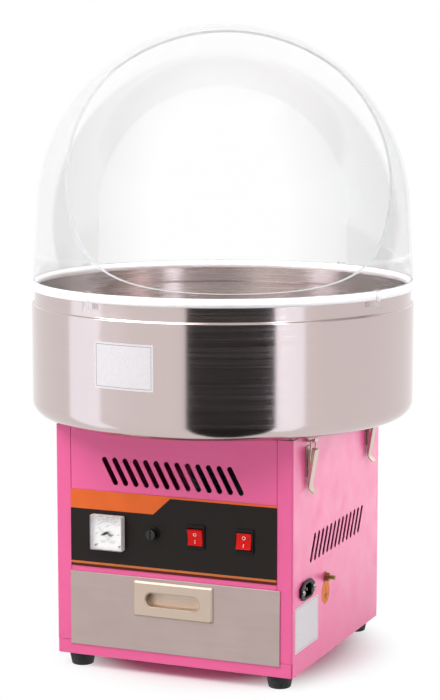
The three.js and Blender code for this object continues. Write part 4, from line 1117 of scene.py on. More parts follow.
class RadialCut(Growth):
    """Upright slots cut through a ring at even steps."""

    def __init__(self) -> None:
        """Builds the tree: one block is set round a circle and cut out."""
        inputs = {"Count": "Int", "Radius": "Float", "Block": "Vector", "Middle": "Vector"}
        super().__init__("radial_cut", inputs)
        add, given = self.add, self.given
        block = add("GeometryNodeMeshCube", {"Size": given["Block"]})
        out = add("CombineXYZ", {"X": given["Radius"]})
        put = add("GeometryNodeTransform", {"Geometry": block, "Translation": out})
        line = {"Count": given["Count"], "Offset": (0.0, 0.0, 0.0)}
        points = add("GeometryNodeMeshLine", line, mode="OFFSET")
        index = add("GeometryNodeInputIndex")
        half = add("Math", {0: index, 1: 0.5}, operation="ADD")
        share = add("Math", {0: half, 1: given["Count"]}, operation="DIVIDE")
        angle = add("Math", {0: share, 1: 2 * math.pi}, operation="MULTIPLY")
        turn = add("CombineXYZ", {"Z": angle})
        self.cut_out({"Points": points, "Instance": put, "Rotation": turn}, {"Translation": given["Middle"]})


class BentWire(Growth):
    """Round wire that follows a path of edges, with its corners bent to a radius."""

    def __init__(self) -> None:
        """Builds the tree: the path becomes a curve with round corners and gets a round section."""
        super().__init__("bent_wire", {"Wire Radius": "Float", "Bend Radius": "Float"})
        add, given = self.add, self.given
        curve = add("GeometryNodeMeshToCurve", {"Mesh": given["Geometry"]})
        bend = {"Curve": curve, "Radius": given["Bend Radius"], "Count": 6}
        bent = add("GeometryNodeFilletCurve", bend, mode="POLY")
        circle_size = {"Resolution": 16, "Radius": given["Wire Radius"]}
        section = add("GeometryNodeCurvePrimitiveCircle", circle_size)
        skin = {"Curve": bent, "Profile Curve": section, "Fill Caps": True}
        self.end(add("GeometryNodeCurveToMesh", skin))


# Sub-assemblies


@dataclass
class Studio:
    """Camera, world, lamps, floor and the cards that the polished bowl mirrors."""

    camera_place: Place = (1.0868, -2.6160, 0.8034)
    camera_tilt: float = 82.11
    camera_turn: float = 22.635
    lens: float = 108.86
    fill: float = 0.38
    canopy: float = 1.45
    floor_size: float = 14.0
    shadow_reach: Point = (0.14, 0.25)

    def build(self) -> None:
        """Builds the whole studio."""
        self.add_camera()
        self.add_world()
        self.add_floor()
        self.add_cards()
        self.add_lamps()

    def add_camera(self) -> None:
        """Camera at the photograph's place and angle."""
        data = bpy.data.cameras.new("camera")
        data.lens = self.lens
        camera = linked("camera", data)
        camera.location = self.camera_place
        camera.rotation_euler = (math.radians(self.camera_tilt), 0.0, math.radians(self.camera_turn))
        bpy.context.scene.camera = camera
        bpy.context.scene.view_settings.view_transform = "Standard"

    def seen_plainly(self, tree: Tree) -> tuple[Node, Socket]:
        """Whether a ray comes from the camera or through glass, and whether it is a mirrored one."""
        path = add_node(tree, "LightPath").outputs
        rays = {0: path["Is Camera Ray"], 1: path["Is Transmission Ray"]}
        return add_node(tree, "Math", rays, operation="MAXIMUM"), path["Is Glossy Ray"]

    def add_world(self) -> None:
        """White surroundings where seen or mirrored, brighter overhead, and a plain fill elsewhere."""
        world = bpy.data.worlds.new("studio")
        world.use_nodes = True
        bpy.context.scene.world = world
        tree = world.node_tree
        tree.nodes.clear()
        add = functools.partial(add_node, tree)
        seen, glossy = self.seen_plainly(tree)
        way = add("TexCoord").outputs["Generated"]
        height = add("SeparateXYZ", {"Vector": way}).outputs["Z"]
        overhead = {"Value": height, "To Min": 1.0, "To Max": self.canopy, "From Max": 0.4}
        mirrored = add("MapRange", overhead, interpolation_type="SMOOTHSTEP")
        rest = add("Mix", {0: glossy, 2: self.fill, 3: mirrored})
        strength = add("Mix", {0: seen, 2: rest, 3: 1.0})
        back = add("Background", {"Color": linear("#FFFFFF"), "Strength": strength})
        add("OutputWorld", {"Surface": back})

    def bare_material(self, thing: Thing, name: str) -> Tree:
        """Empty tree of a new material on a piece of the stage."""
        material = bpy.data.materials.new(name)
        material.use_nodes = True
        material.node_tree.nodes.clear()
        thing.data.materials.append(material)
        return material.node_tree

    def add_floor(self) -> None:
        """Pale floor that keeps the shadow and fades to white away from the machine."""
        half = self.floor_size / 2 / MM
        floor = placed("floor", plate(rectangle(2 * half, 2 * half), -20, 0, Axis.Z))
        tree = self.bare_material(floor, "studio_floor")
        add = functools.partial(add_node, tree)
        place = add("TexCoord").outputs["Object"]
        reach = add("VectorMath", {0: place}, operation="LENGTH").outputs["Value"]
        near, far = self.shadow_reach
        band = {"Value": reach, "From Min": near, "From Max": far}
        fade = add("MapRange", band, interpolation_type="SMOOTHSTEP")
        seen, _ = self.seen_plainly(tree)
        share = add("Math", {0: fade, 1: seen}, operation="MULTIPLY")
        paper = add("BsdfDiffuse", {"Color": (0.95, 0.95, 0.95, 1.0)})
        white = add("Emission", {"Strength": 1.0})
        both = add("MixShader", {0: share, 1: paper, 2: white})
        add("OutputMaterial", {"Surface": both})
        floor.visible_glossy = False

    def add_card(
        self, name: str, bearing: float, across: Point, up: Point, distance: float, light: float,
        colour: str = "#FFFFFF", clear: bool = False,
    ) -> None:
        """Flat upright card seen only in mirror surfaces.

        Args:
            name: Name of the card.
            bearing: Its direction from the machine, in degrees from the camera's towards the right.
            across: Its left and right edge, in metres.
            up: Its lower and upper edge, in metres.
            distance: Its distance from the machine's axis, in metres.
            light: Its brightness, where the surroundings are 1.
            colour: Its colour.
            clear: Whether rays pass through it.
        """
        (left, right), (low, high) = across, up
        corners = ((left, low), (right, low), (right, high), (left, high))
        outline = [(x / MM, z / MM) for x, z in corners]
        face = -distance / MM
        card = moved(plate(outline, face - 5, face, Axis.Y), (0, 0, 0), self.camera_turn + bearing)
        self.light_card(placed(name, card), light, colour, clear)

    def light_card(self, card: Thing, light: float, colour: str = "#FFFFFF", clear: bool = False) -> None:
        """Gives a card its light, lets rays through if it is clear, and shows it to mirror surfaces only.

        Args:
            card: The card.
            light: Its brightness.
            colour: Its colour.
            clear: Whether rays pass through it.
        """
        tree = self.bare_material(card, card.name)
        glow = add_node(tree, "Emission", {"Color": linear(colour), "Strength": light})
        if clear:
            through = add_node(tree, "BsdfTransparent")
            glow = add_node(tree, "AddShader", {0: through, 1: glow})
        add_node(tree, "OutputMaterial", {"Surface": glow})
        card.visible_camera = card.visible_diffuse = card.visible_shadow = False
        card.visible_transmission = card.visible_volume_scatter = False

    def add_cards(self) -> None:
        """Dark cards for the bowl's dark band, light ones for its bright bands and for the painted side."""
        left, right, dark = -1.53, 2.3, 0.02
        self.add_card("dark_card", 0.0, (left, right), (-1.2, 0.9), 4.0, dark)
        floor = [(x / MM, y / MM) for x, y in ((-0.06, -0.2), (0.1, -0.2), (right, -4.0), (left, -4.0))]
        low = moved(plate(floor, -1205, -1200, Axis.Z), (0, 0, 0), self.camera_turn)
        self.light_card(placed("dark_floor_card", low), dark)
        for name, *card in (
            ("bright_card_right", 42, (-0.80, 0.40), (-3.5, 3.5), 4.0, 1.55, "#F2F8FF"),
            ("bright_card_left", -90, (-0.76, 1.06), (-3.5, 3.5), 4.0, 1.55, "#F2F8FF"),
            ("high_card_right", 36, (-0.5, 0.56), (1.15, 3.5), 4.0, 5.3, "#F0F3FF", True),
            ("high_card_left", -72, (-0.8, 0.8), (1.15, 3.5), 4.0, 4.7, "#F0F3FF", True),
            ("shade_card", 82, (-1.9, 1.9), (0.75, 3.5), 4.1, 0.3),
            ("sheen_card", 135, (-1.0, 1.0), (-0.3, 1.4), 1.5, 0.8, "#FFFFFF", True),
        ):
            self.add_card(name, *card)

    def aim_cards(self) -> None:
        """Keeps the light of the card behind to the painted sheets, and of the high cards to the bowl."""
        lit = {PINK_COAT: ("sheen_card",), INSIDE_STEEL: ("high_card_right", "high_card_left")}
        for finish, cards in lit.items():
            group = bpy.data.collections.new(f"lit_{finish.name}")
            coat = material_of(finish)
            for thing in bpy.data.objects:
                if thing.type == "MESH" and coat.name in thing.data.materials:
                    group.objects.link(thing)
            for card in cards:
                bpy.data.objects[card].light_linking.receiver_collection = group

    def add_lamp(self, name: str, place: Place, size: float, power: float, mirrored: bool = True) -> None:
        """Soft square lamp that points at the middle of the cabinet.

        Args:
            name: Name of the lamp.
            place: Where it stands, in metres.
            size: Its width and height, in metres.
            power: Its power in watts.
            mirrored: Whether polished surfaces show it.
        """
        target = Vector((0.0, 0.0, 0.3))
        data = bpy.data.lights.new(name, "AREA")
        data.shape = "RECTANGLE"
        data.size = data.size_y = size
        data.energy = power
        lamp = linked(name, data)
        lamp.location = place
        lamp.rotation_euler = (target - Vector(place)).to_track_quat("-Z", "Y").to_euler()
        lamp.visible_glossy = mirrored

    def add_lamps(self) -> None:
        """Key lamp high on the left front, and a weaker one behind on the right."""
        self.add_lamp("key_lamp", (-0.76, -1.63, 2.44), 1.6, 58.0)
        self.add_lamp("rear_lamp", (2.2, 1.0, 1.3), 0.9, 17.0, False)


@dataclass
class Cabinet:
    """Folded sheet cabinet on four rubber feet, with its top deck and drawer runners."""

    width: float = 333.0
    depth: float = 341.0
    floor: float = 18.0
    top: float = 326.0
    sheet: float = 1.2
    bend: float = 2.5
    edge: float = 0.3
    pan_lip: float = 19.0
    front_flange: float = 21.0
    rear_flange: float = 15.0
    top_flange: float = 14.0
    panel_return: float = 12.0
    panel_bend: float = 1.4
    sill: float = 129.0
    deck_thickness: float = 2.4
    deck_hole: float = 30.0
    foot_height: float = 17.7
    foot_place: Point = (141.0, 148.0)
    slot_count: int = 13
    slot_width: float = 7.4
    slot_height: float = 36.5
    slot_slant: float = 15.5
    front_pitch: float = 14.7
    front_slot_height: float = 268.7
    side_pitch: float = 15.6
    side_slot_place: Point = (-2.0, 173.5)
    screw_x: float = 138.0
    screw_heights: Place = (52.0, 182.0, 312.0)
    side_holes: list[list[Point]] = field(default_factory=list)
    front_holes: list[list[Point]] = field(default_factory=list)

    @property
    def side_x(self) -> float:
        """Distance of the side walls from the middle."""
        return self.width / 2

    @property
    def rear_y(self) -> float:
        """Distance of the rear and of the front from the middle."""
        return self.depth / 2

    def build(self, slots: SlotRow, screws: ScrewSet) -> None:
        """Builds the cabinet.

        Args:
            slots: Tree that cuts the ventilation slots.
            screws: Tree that sets the screws.
        """
        self.add_feet()
        self.add_pan()
        for side in Side:
            self.add_side(side, slots)
            self.add_runner(side)
        self.add_front(slots)
        self.add_rear()
        self.add_deck()
        self.add_screws(screws)

    def add_feet(self) -> None:
        """Tapered rubber feet with a screw hole in the underside."""
        high = self.foot_height
        profile = [
            (0, 6), (4.5, 6), (4.5, 0), (13.3, 0), *arc((13.3, 1.4), 1.2, -80, -5, 4),
            (17.5, high - 1.6), *arc((16.1, high - 1.4), 1.4, 0, 90, 4), (0, high),
        ]
        for end in End:
            for side in Side:
                node = f"foot_{end.label}_{side.label}"
                x, y = side.value * self.foot_place[0], end.value * self.foot_place[1]
                piece(f"{node}_rubber", moved(revolve(profile, 48), (x, y, 0)), RUBBER, node)

    def add_pan(self) -> None:
        """Base pan with its lip turned up all round."""
        half = self.side_x - self.sheet - SEAT_GAP
        low, high = (-half, -self.rear_y, self.floor), (half, self.rear_y, self.floor + self.pan_lip)
        pan = walled("base_pan_sheet", shell(low, high, Vector((0, 0, 1)), 1.6), self.sheet)
        dressed(pan, PINK_COAT, "base_pan")

    def cut_slots(
        self, panel: Thing, slots: SlotRow, pitch: float, slant: float, depth: float, middle: Place,
        turn: float = 0.0,
    ) -> None:
        """Cuts a row of slots through a panel.

        Args:
            panel: The panel.
            slots: Tree that cuts them.
            pitch: Distance from slot to slot.
            slant: How far a slot leans to the right.
            depth: How deep the cut is.
            middle: Middle of the row.
            turn: Turn of the row about Z, in radians.
        """
        slots.grow(panel, PINK_COAT, {
            "Count": self.slot_count, "Pitch": pitch * MM, "Slot Width": self.slot_width * MM,
            "Reach": (self.slot_height - self.slot_width) / 2 * MM, "Slant": slant * MM, "Depth": depth * MM,
            "Middle": tuple(value * MM for value in middle), "Turn": (0.0, 0.0, turn),
        })

    def add_side(self, side: Side, slots: SlotRow) -> None:
        """Side panel folded round the front and the rear, with its slots.

        Args:
            side: Which side.
            slots: Tree that cuts the slots.
        """
        x, y, r = self.side_x, self.rear_y, self.bend
        front = [(x - self.front_flange, -y), *arc((x - r, r - y), r, -90, 0, 6)]
        rear = [*arc((x - r, y - r), r, 0, 90, 6), (x - self.rear_flange, y)]
        notch = self.floor + self.pan_lip + SEAT_GAP
        surface = bmesh.new()
        columns = [
            [surface.verts.new((side.value * px, py, z)) for z in (self.floor, notch, self.top)]
            for px, py in (*front, *rear)
        ]
        for i, (near, far) in enumerate(zip(columns, columns[1:])):
            is_wall = i == len(front) - 1
            for k in (0, 1) if is_wall else (1,):
                corners = [near[k], far[k], far[k + 1], near[k + 1]]
                surface.faces.new(corners if side is Side.RIGHT else corners[::-1])
        loose = [vert for vert in surface.verts if not vert.link_faces]
        bmesh.ops.delete(surface, geom=loose, context="VERTS")
        panel = walled(f"{side.label}_side_sheet", surface, self.sheet)
        middle = (side.value * x, *self.side_slot_place)
        self.cut_slots(panel, slots, self.side_pitch, self.slot_slant, 10.0, middle, math.pi / 2)
        if side is Side.RIGHT:
            for hole in self.side_holes:
                cut(panel, plate(hole, x - 5, x + 5, Axis.X))
        softened(panel, self.edge)
        out, back = x - self.sheet / 2, y - self.sheet
        flange = rectangle(self.top_flange, 2 * back, side.value * (out - self.top_flange / 2))
        low = self.top - self.sheet
        piece(f"{side.label}_top_flange", plate(flange, low, self.top, Axis.Z), PINK_COAT)
        dressed(panel, PINK_COAT, f"{side.label}_side_panel")

    def add_front(self, slots: SlotRow) -> None:
        """Front panel over the drawer, with slots and the holes behind the control sheet."""
        half, y = self.side_x - self.front_flange - SEAT_GAP, -self.rear_y
        low, high = (-half, y, self.sill), (half, y + self.panel_return, self.top)
        panel = walled("front_sheet", shell(low, high, Vector((0, 1, 0)), self.panel_bend), self.sheet)
        middle = (0.0, y, self.front_slot_height)
        self.cut_slots(panel, slots, self.front_pitch, -self.slot_slant, 8.0, middle)
        for hole in self.front_holes:
            cut(panel, plate(hole, y - 5, y + 5, Axis.Y))
        dressed(softened(panel, self.edge), PINK_COAT, "front_panel")

    def add_rear(self) -> None:
        """Plain rear panel."""
        half, y = self.side_x - self.rear_flange - SEAT_GAP, self.rear_y
        low = (-half, y - self.panel_return, self.floor + self.pan_lip + SEAT_GAP)
        surface = shell(low, (half, y, self.top), Vector((0, -1, 0)), self.panel_bend)
        dressed(walled("rear_sheet", surface, self.sheet), PINK_COAT, "rear_panel")

    def add_deck(self) -> None:
        """Plated top deck under the bowl."""
        outline, hole = rounded(self.width - 2, self.depth - 2, 6), circle(self.deck_hole, sides=64)
        low = self.top + SEAT_GAP
        deck = plate(outline, low, low + self.deck_thickness, Axis.Z, [hole], 0.4, 0.4)
        piece("top_deck_sheet", deck, DECK_STEEL, "top_deck")

    def add_runner(self, side: Side) -> None:
        """Drawer runner with softened edges."""
        node = f"drawer_runner_{side.label}"
        dressed(copied(node, self.edge), DECK_STEEL, node)

    def add_screws(self, screws: ScrewSet) -> None:
        """Screws of the rear panel."""
        columns = (-self.screw_x, self.screw_x)
        points = [(x, self.rear_y + 0.9, z) for x in columns for z in self.screw_heights]
        screws.fix("rear_panel_screws", points, (3.4, 1.8), (-math.pi / 2, 0.0, 0.0), 3)


@dataclass
class ControlPanel:
    """Printed control sheet with its meter, fuse holder and two rocker switches."""

    half_width: float = 145.2
    low: float = 138.95
    high: float = 241.45
    face: float = -171.6
    thickness: float = 0.8
    device_face: float = -171.9
    meter_place: Point = (-90.0, 187.7)
    case_thickness: float = 2.0
    cover_size: float = 46.0
    cover_wall: float = 1.4
    cover_depth: float = 7.8
    dial_thickness: float = 0.6
    ink: float = 0.05
    meter_barrel: float = 19.0
    pivot_drop: float = 7.0
    scale_radius: float = 21.2
    tick_count: int = 25
    number_reach: float = 4.1
    number_size: float = 2.3
    needle_angle: float = 42.0
    needle_length: float = 19.0
    hub_height: float = 2.8
    fuse_place: Point = (-26.0, 191.0)
    fuse_barrel: float = 6.0
    fuse_bore: float = 4.8
    fuse_cap_radius: float = 6.8
    fuse_cap_length: float = 7.5
    ridge_count: int = 56
    heat_x: float = 34.0
    power_x: float = 101.5
    switch_z: float = 192.0
    switch_body: Point = (23.4, 28.6)
    bezel_lap: float = 1.15
    bezel_thickness: float = 2.0
    rocker_tilt: float = 7.0
    rocker_pivot: float = 3.0
    rocker_stand: float = 2.6
    rocker_dip: float = 1.6
    rocker_skirt: float = 7.0

    @property
    def dial_back(self) -> float:
        """Plane of the dial's rear."""
        return self.device_face - self.case_thickness - SEAT_GAP

    @property
    def dial_face(self) -> float:
        """Plane of the dial's front."""
        return self.dial_back - self.dial_thickness

    def holes(self) -> list[list[Point]]:
        """Outlines of the holes for the four devices."""
        w, h = (length + 2 * SEAT_GAP for length in self.switch_body)
        return [
            circle(self.meter_barrel + SEAT_GAP, *self.meter_place),
            circle(self.fuse_barrel + SEAT_GAP, *self.fuse_place),
            *(rectangle(w, h, x, self.switch_z) for x in (self.heat_x, self.power_x)),
        ]

    def build(self, screws: ScrewSet) -> None:
        """Builds the sheet and the devices in it."""
        self.add_sheet()
        self.add_meter(screws)
        self.add_dial_print()
        self.add_needle()
        self.add_fuse()
        self.add_switch("heat", self.heat_x, 1)
        self.add_switch("power", self.power_x, -1)

    def add_sheet(self) -> None:
        """Printed sheet."""
        outline = rectangle(2 * self.half_width, self.high - self.low, 0, (self.high + self.low) / 2)
        sheet = plate(outline, self.face, self.face + self.thickness, Axis.Y, self.holes(), 0.2)
        piece("control_sheet", sheet, OVERLAY_PRINT, "control_overlay")

    def add_meter(self, screws: ScrewSet) -> None:
        """Square panel meter with a clear cover over a white dial."""
        (x, z), face, size = self.meter_place, self.device_face, self.cover_size
        back = self.dial_back
        case = joined(
            plate(rounded(size, size, 2, x, z), face - self.case_thickness, face, Axis.Y, (), 0.3, 0.2),
            plate(circle(self.meter_barrel, x, z, 64), face, face + 32, Axis.Y, (), 0, 0.8),
        )
        piece("meter_case", case, WHITE_ABS, "meter_housing")
        dial_size = size - 2 * (self.cover_wall + 2 * SEAT_GAP)
        dial = plate(rounded(dial_size, dial_size, 1.5, x, z), self.dial_face, back, Axis.Y, (), 0.1)
        piece("meter_dial_plate", dial, WHITE_INK, "meter_dial")
        half = size / 2
        low, high = (x - half, back - self.cover_depth, z - half), (x + half, back, z + half)
        cover = walled("meter_window", shell(low, high, Vector((0, 1, 0)), 1.3), self.cover_wall)
        dressed(cover, ACRYLIC, "meter_cover")
        refinished(cover, MILKY_ACRYLIC, lambda wall: abs(wall.normal.y) < 0.6)
        points = [(x + across, self.dial_face - 0.5, z - 17.6) for across in (-17.0, 17.0)]
        screws.fix("meter_screws", points, (1.5, 1.0), FACING_FRONT, 8, BLACK_INK)

    def add_dial_print(self) -> None:
        """Scale with its numbers, the alternating current sign, the movement's cover, and ribs below it."""
        (x, z), face = self.meter_place, self.dial_face
        pivot = (x, z - self.pivot_drop)
        ink = (face - self.ink, face, Axis.Y)
        reach, r = self.needle_angle, self.scale_radius
        line = [*arc(pivot, r, 90 - reach, 90 + reach, 30), *arc(pivot, r + 0.35, 90 + reach, 90 - reach, 30)]
        marks = [plate(line, *ink)]
        for i in range(self.tick_count):
            a = 90 + reach - 2 * reach * i / (self.tick_count - 1)
            length = 2.2 if i % 4 == 0 else 1.1
            tick = [*arc(pivot, r, a - 0.35, a + 0.35, 1), *arc(pivot, r + length, a + 0.35, a - 0.35, 1)]
            marks.append(plate(tick, *ink))
        piece("meter_scale", joined(*marks), GREY_INK)
        for i in range(7):
            angle = 90 + reach - 2 * reach * i / 6
            place = arc(pivot, r + self.number_reach, angle, angle, 1)[0]
            self.add_number(f"meter_number_{i}", 50 * i, place)
        wave = [(1.9 * t / 8, 0.8 * math.sin(math.pi * t / 8)) for t in range(-8, 9)]
        sign = [(x + px, z + 8.2 + pz) for px, pz in [*wave, *((px, pz + 0.6) for px, pz in wave[::-1])]]
        ears = [rectangle(1.1, 1.8, x + side * 15.6, z - 2.0) for side in (-1, 1)]
        piece("meter_signs", joined(*(plate(shape, *ink) for shape in (sign, *ears))), BLACK_INK)
        bridge = [
            (-8.8, -2.6), (-7.2, -1.0), (-4.6, 0.2), (-2.4, 1.9), (0.0, 2.6), (2.4, 1.9), (4.4, -0.2),
            (6.8, -1.6), (9.2, -2.3), (7.2, -3.5), (4.4, -3.5), (2.4, -2.5), (0.0, -0.5), (-2.2, -2.3),
            (-4.4, -3.1), (-7.0, -3.4),
        ]
        outline = [(x + px - 1.0, z - 1.2 + pz) for px, pz in bridge]
        piece("meter_movement_cover", plate(outline, face - 0.6, face - 0.02, Axis.Y, (), 0.2), BLACK_ABS)
        ribs = [
            plate(rectangle(0.9, 4.0, x + side * 6.6 + 1.5 * i, z - 12.4), *ink)
            for side in (-1, 1) for i in (-2, -1, 0, 1, 2)
        ]
        piece("meter_lower_ribs", joined(*ribs), DIAL_GREY)

    def add_number(self, name: str, number: int, place: Point) -> None:
        """Flat number on the dial.

        Args:
            name: Name of the piece.
            number: What it reads.
            place: Its middle on the dial.
        """
        data = bpy.data.curves.new(name, "FONT")
        data.body = str(number)
        data.size = self.number_size * MM
        data.align_x, data.align_y = "CENTER", "CENTER"
        data.extrude = 0.02 * MM
        letter = linked(f"{name}_text", data)
        mesh = worked_mesh(letter)
        bpy.data.objects.remove(letter)
        at = Vector((place[0], self.dial_face - self.ink, place[1])) * MM
        mesh.transform(pose(at, 90, "X"))
        dressed(linked(name, mesh), GREY_INK)

    def add_needle(self) -> None:
        """Needle on its hub, at rest at the low end of the scale."""
        x, z = self.meter_place
        back, tip = self.dial_face - SEAT_GAP, self.needle_length
        hub = plate(circle(2.2, sides=32), back - self.hub_height, back, Axis.Y, (), 0.4)
        middle = back - self.hub_height / 2
        outline = [(-0.3, -3), (0.3, -3), (0.15, tip), (-0.15, tip)]
        blade = plate(outline, middle - 0.15, middle + 0.15, Axis.Y, (), 0.05, 0.05)
        for solid in (blade, hub):
            moved(solid, (x, 0, z - self.pivot_drop), -self.needle_angle, "Y")
        piece("meter_pointer", blade, BLACK_ABS, "meter_needle", "needle")
        piece("meter_pointer_hub", hub, WHITE_ABS, "", "needle", "plastic_black")

    def add_fuse(self) -> None:
        """Fuse holder and its screw cap."""
        (x, z), barrel, bore, r = self.fuse_place, self.fuse_barrel, self.fuse_bore, self.fuse_cap_radius
        holder = revolve([
            (bore, -20), (bore, 2), *arc((7.9, 1.4), 0.6, 90, 0, 3), (8.5, 0), (barrel, 0),
            (barrel, -27.5), (barrel - 0.5, -28), (0.01, -28), (0.01, -20),
        ], 64)
        moved(holder, (x, self.device_face, z), 90, "X")
        piece("fuse_socket", holder, BLACK_ABS, "fuse_holder")
        base = 2 + SEAT_GAP
        top = base + self.fuse_cap_length
        count = self.ridge_count
        steps = [(r - (0.28 if i % 2 else 0.0), 2 * math.pi * i / count) for i in range(count)]
        ridges = [(out * math.cos(a), out * math.sin(a)) for out, a in steps]
        grip = plate(ridges, base, top, Axis.Z, (), 0.3, 0.9)
        stem = bore - SEAT_GAP
        post = revolve([(0, base - 12), (stem, base - 12), (stem, base + 0.4), (0, base + 0.4)], 48)
        cap = placed("fuse_cap_knob", joined(grip, post))
        cut(cap, plate(rectangle(1.8, 30), top - 1.5, top + 2, Axis.Z))
        cap.data.transform(pose(Vector((x, self.device_face, z)) * MM, 90, "X"))
        dressed(cap, GLOSS_BLACK, "fuse_cap", "fuse_cap")

    def add_switch(self, name: str, x: float, tilt: int) -> None:
        """Rocker switch in its bezel.

        Args:
            name: Which switch.
            x: Its place across the sheet.
            tilt: 1 with the lower half in, -1 with the upper half in.
        """
        z, face = self.switch_z, self.device_face
        w, h = self.switch_body
        rocker_w, rocker_h = w - 2 * (1.1 + 0.4), h - 2 * 4.0
        open_w, open_h = rocker_w + 0.8, rocker_h + 2.2
        border = rounded(w + 2 * self.bezel_lap, h + 2 * self.bezel_lap, 1.5, x, z)
        mouth = rounded(open_w, open_h, 0.5, x, z)
        body = rectangle(w, h, x, z)
        case = joined(
            plate(border, face - self.bezel_thickness, face, Axis.Y, [mouth], 0.5),
            plate(body, face, face + 12, Axis.Y, [rectangle(open_w, open_h, x, z)]),
            plate(body, face + 12, face + 24, Axis.Y, (), 0, 0.6),
        )
        piece(f"{name}_switch_case", case, BLACK_ABS, f"{name}_switch_body")
        end, dip = rocker_h / 2, self.rocker_dip
        crest = -self.rocker_pivot - self.rocker_stand
        skirt = crest + self.rocker_skirt
        front = [(crest + dip * (1 - (t / 8) ** 2), end * t / 8) for t in range(-8, 9)]
        outline = [*front, (skirt, end), (skirt + dip, 0), (skirt, -end)]
        rocker = plate(outline, -rocker_w / 2, rocker_w / 2, Axis.X, (), 0.5, 0.5)
        place = (x, face - self.bezel_thickness + self.rocker_pivot, z)
        moved(rocker, place, tilt * self.rocker_tilt, "X")
        piece(f"{name}_rocker_cap", rocker, RED_POLYCARBONATE, f"{name}_rocker", f"{name}_rocker")
        ring_at, bar_at = 0.42 * end, -0.52 * end
        ring = plate(circle(2.3, 0, ring_at, 40), 0, self.ink, Axis.Y, [circle(1.8, 0, ring_at, 40)])
        marks = joined(ring, plate(rectangle(0.6, 4.6, 0, bar_at), 0, self.ink, Axis.Y))
        long_edges = [e for e in marks.edges if abs(e.verts[0].co.z - e.verts[1].co.z) > 2]
        bmesh.ops.subdivide_edges(marks, edges=long_edges, cuts=6)
        for vert in marks.verts:
            vert.co.y += crest + dip * (1 - (vert.co.z / end) ** 2) - 0.06
        moved(marks, place, tilt * self.rocker_tilt, "X")
        piece(f"{name}_rocker_symbols", marks, WHITE_INK, "", f"{name}_rocker")


@dataclass
class Drawer:
    """Sheet drawer with a brushed front and a sunk pull plate."""

    shift: float = 2.0
    front_width: float = 296.0
    front_low: float = 32.7
    front_high: float = 131.7
    face: float = -172.3
    back: float = -170.8
    pull_z: float = 103.5
    pull_size: Point = (112.0, 47.0)
    pull_corner: float = 2.4
    pull_face: float = -175.8
    bevel: Point = (2.2, 2.3)
    recess: Point = (76.0, 18.0)
    recess_depth: float = 13.0
    recess_wall: float = 1.2
    lip: float = 1.5

    def build(self) -> None:
        """Builds the front, the box and the pull."""
        reach = (self.recess[0] - self.recess[1]) / 2
        radius = self.recess[1] / 2
        height = self.front_high - self.front_low
        outline = rectangle(self.front_width, height, self.shift, (self.front_high + self.front_low) / 2)
        opening = slot(reach, radius + self.recess_wall + SEAT_GAP, self.shift, self.pull_z)
        front = plate(outline, self.face, self.back, Axis.Y, [opening], 0.5, 0.3)
        piece("drawer_face", front, DRAWER_STEEL, "drawer_front", "drawer")
        dressed(copied("drawer_box", 0.3), DRAWER_STEEL, "drawer_box", "drawer")
        self.add_pull(reach, radius)

    def add_pull(self, reach: float, radius: float) -> None:
        """Bevelled plate with a round-ended finger recess.

        Args:
            reach: From the recess's middle to each end's centre.
            radius: Radius of the recess's ends.
        """
        x, z = self.shift, self.pull_z
        w, h = self.pull_size
        edge = self.pull_face + self.bevel[1]
        border, mouth = rounded(w, h, self.pull_corner, x, z), slot(reach, radius, x, z)
        base = plate(border, edge, self.face - SEAT_GAP, Axis.Y, [mouth])
        top = plate(border, self.pull_face, edge, Axis.Y, [mouth])
        for vert in top.verts:
            across, up = vert.co.x - x, vert.co.z - z
            if vert.co.y > edge - 0.1:
                continue
            if abs(across) > w / 2 - 4 or abs(up) > h / 2 - 4:
                vert.co.x -= math.copysign(self.bevel[0], across)
                vert.co.z -= math.copysign(self.bevel[0], up)
            else:
                inner = max(-reach, min(reach, across))
                vert.co.x += (across - inner) / radius * self.lip
                vert.co.z += up / radius * self.lip
        outer = slot(reach, radius + self.recess_wall, x, z)
        low = self.pull_face + self.recess_depth
        wall = plate(outer, self.pull_face + 1.4, low, Axis.Y, [mouth])
        floor = plate(outer, low, low + self.recess_wall, Axis.Y, (), 0, 0.5)
        piece("drawer_pull_plate", joined(base, top, wall, floor), NICKEL, "drawer_pull", "drawer")


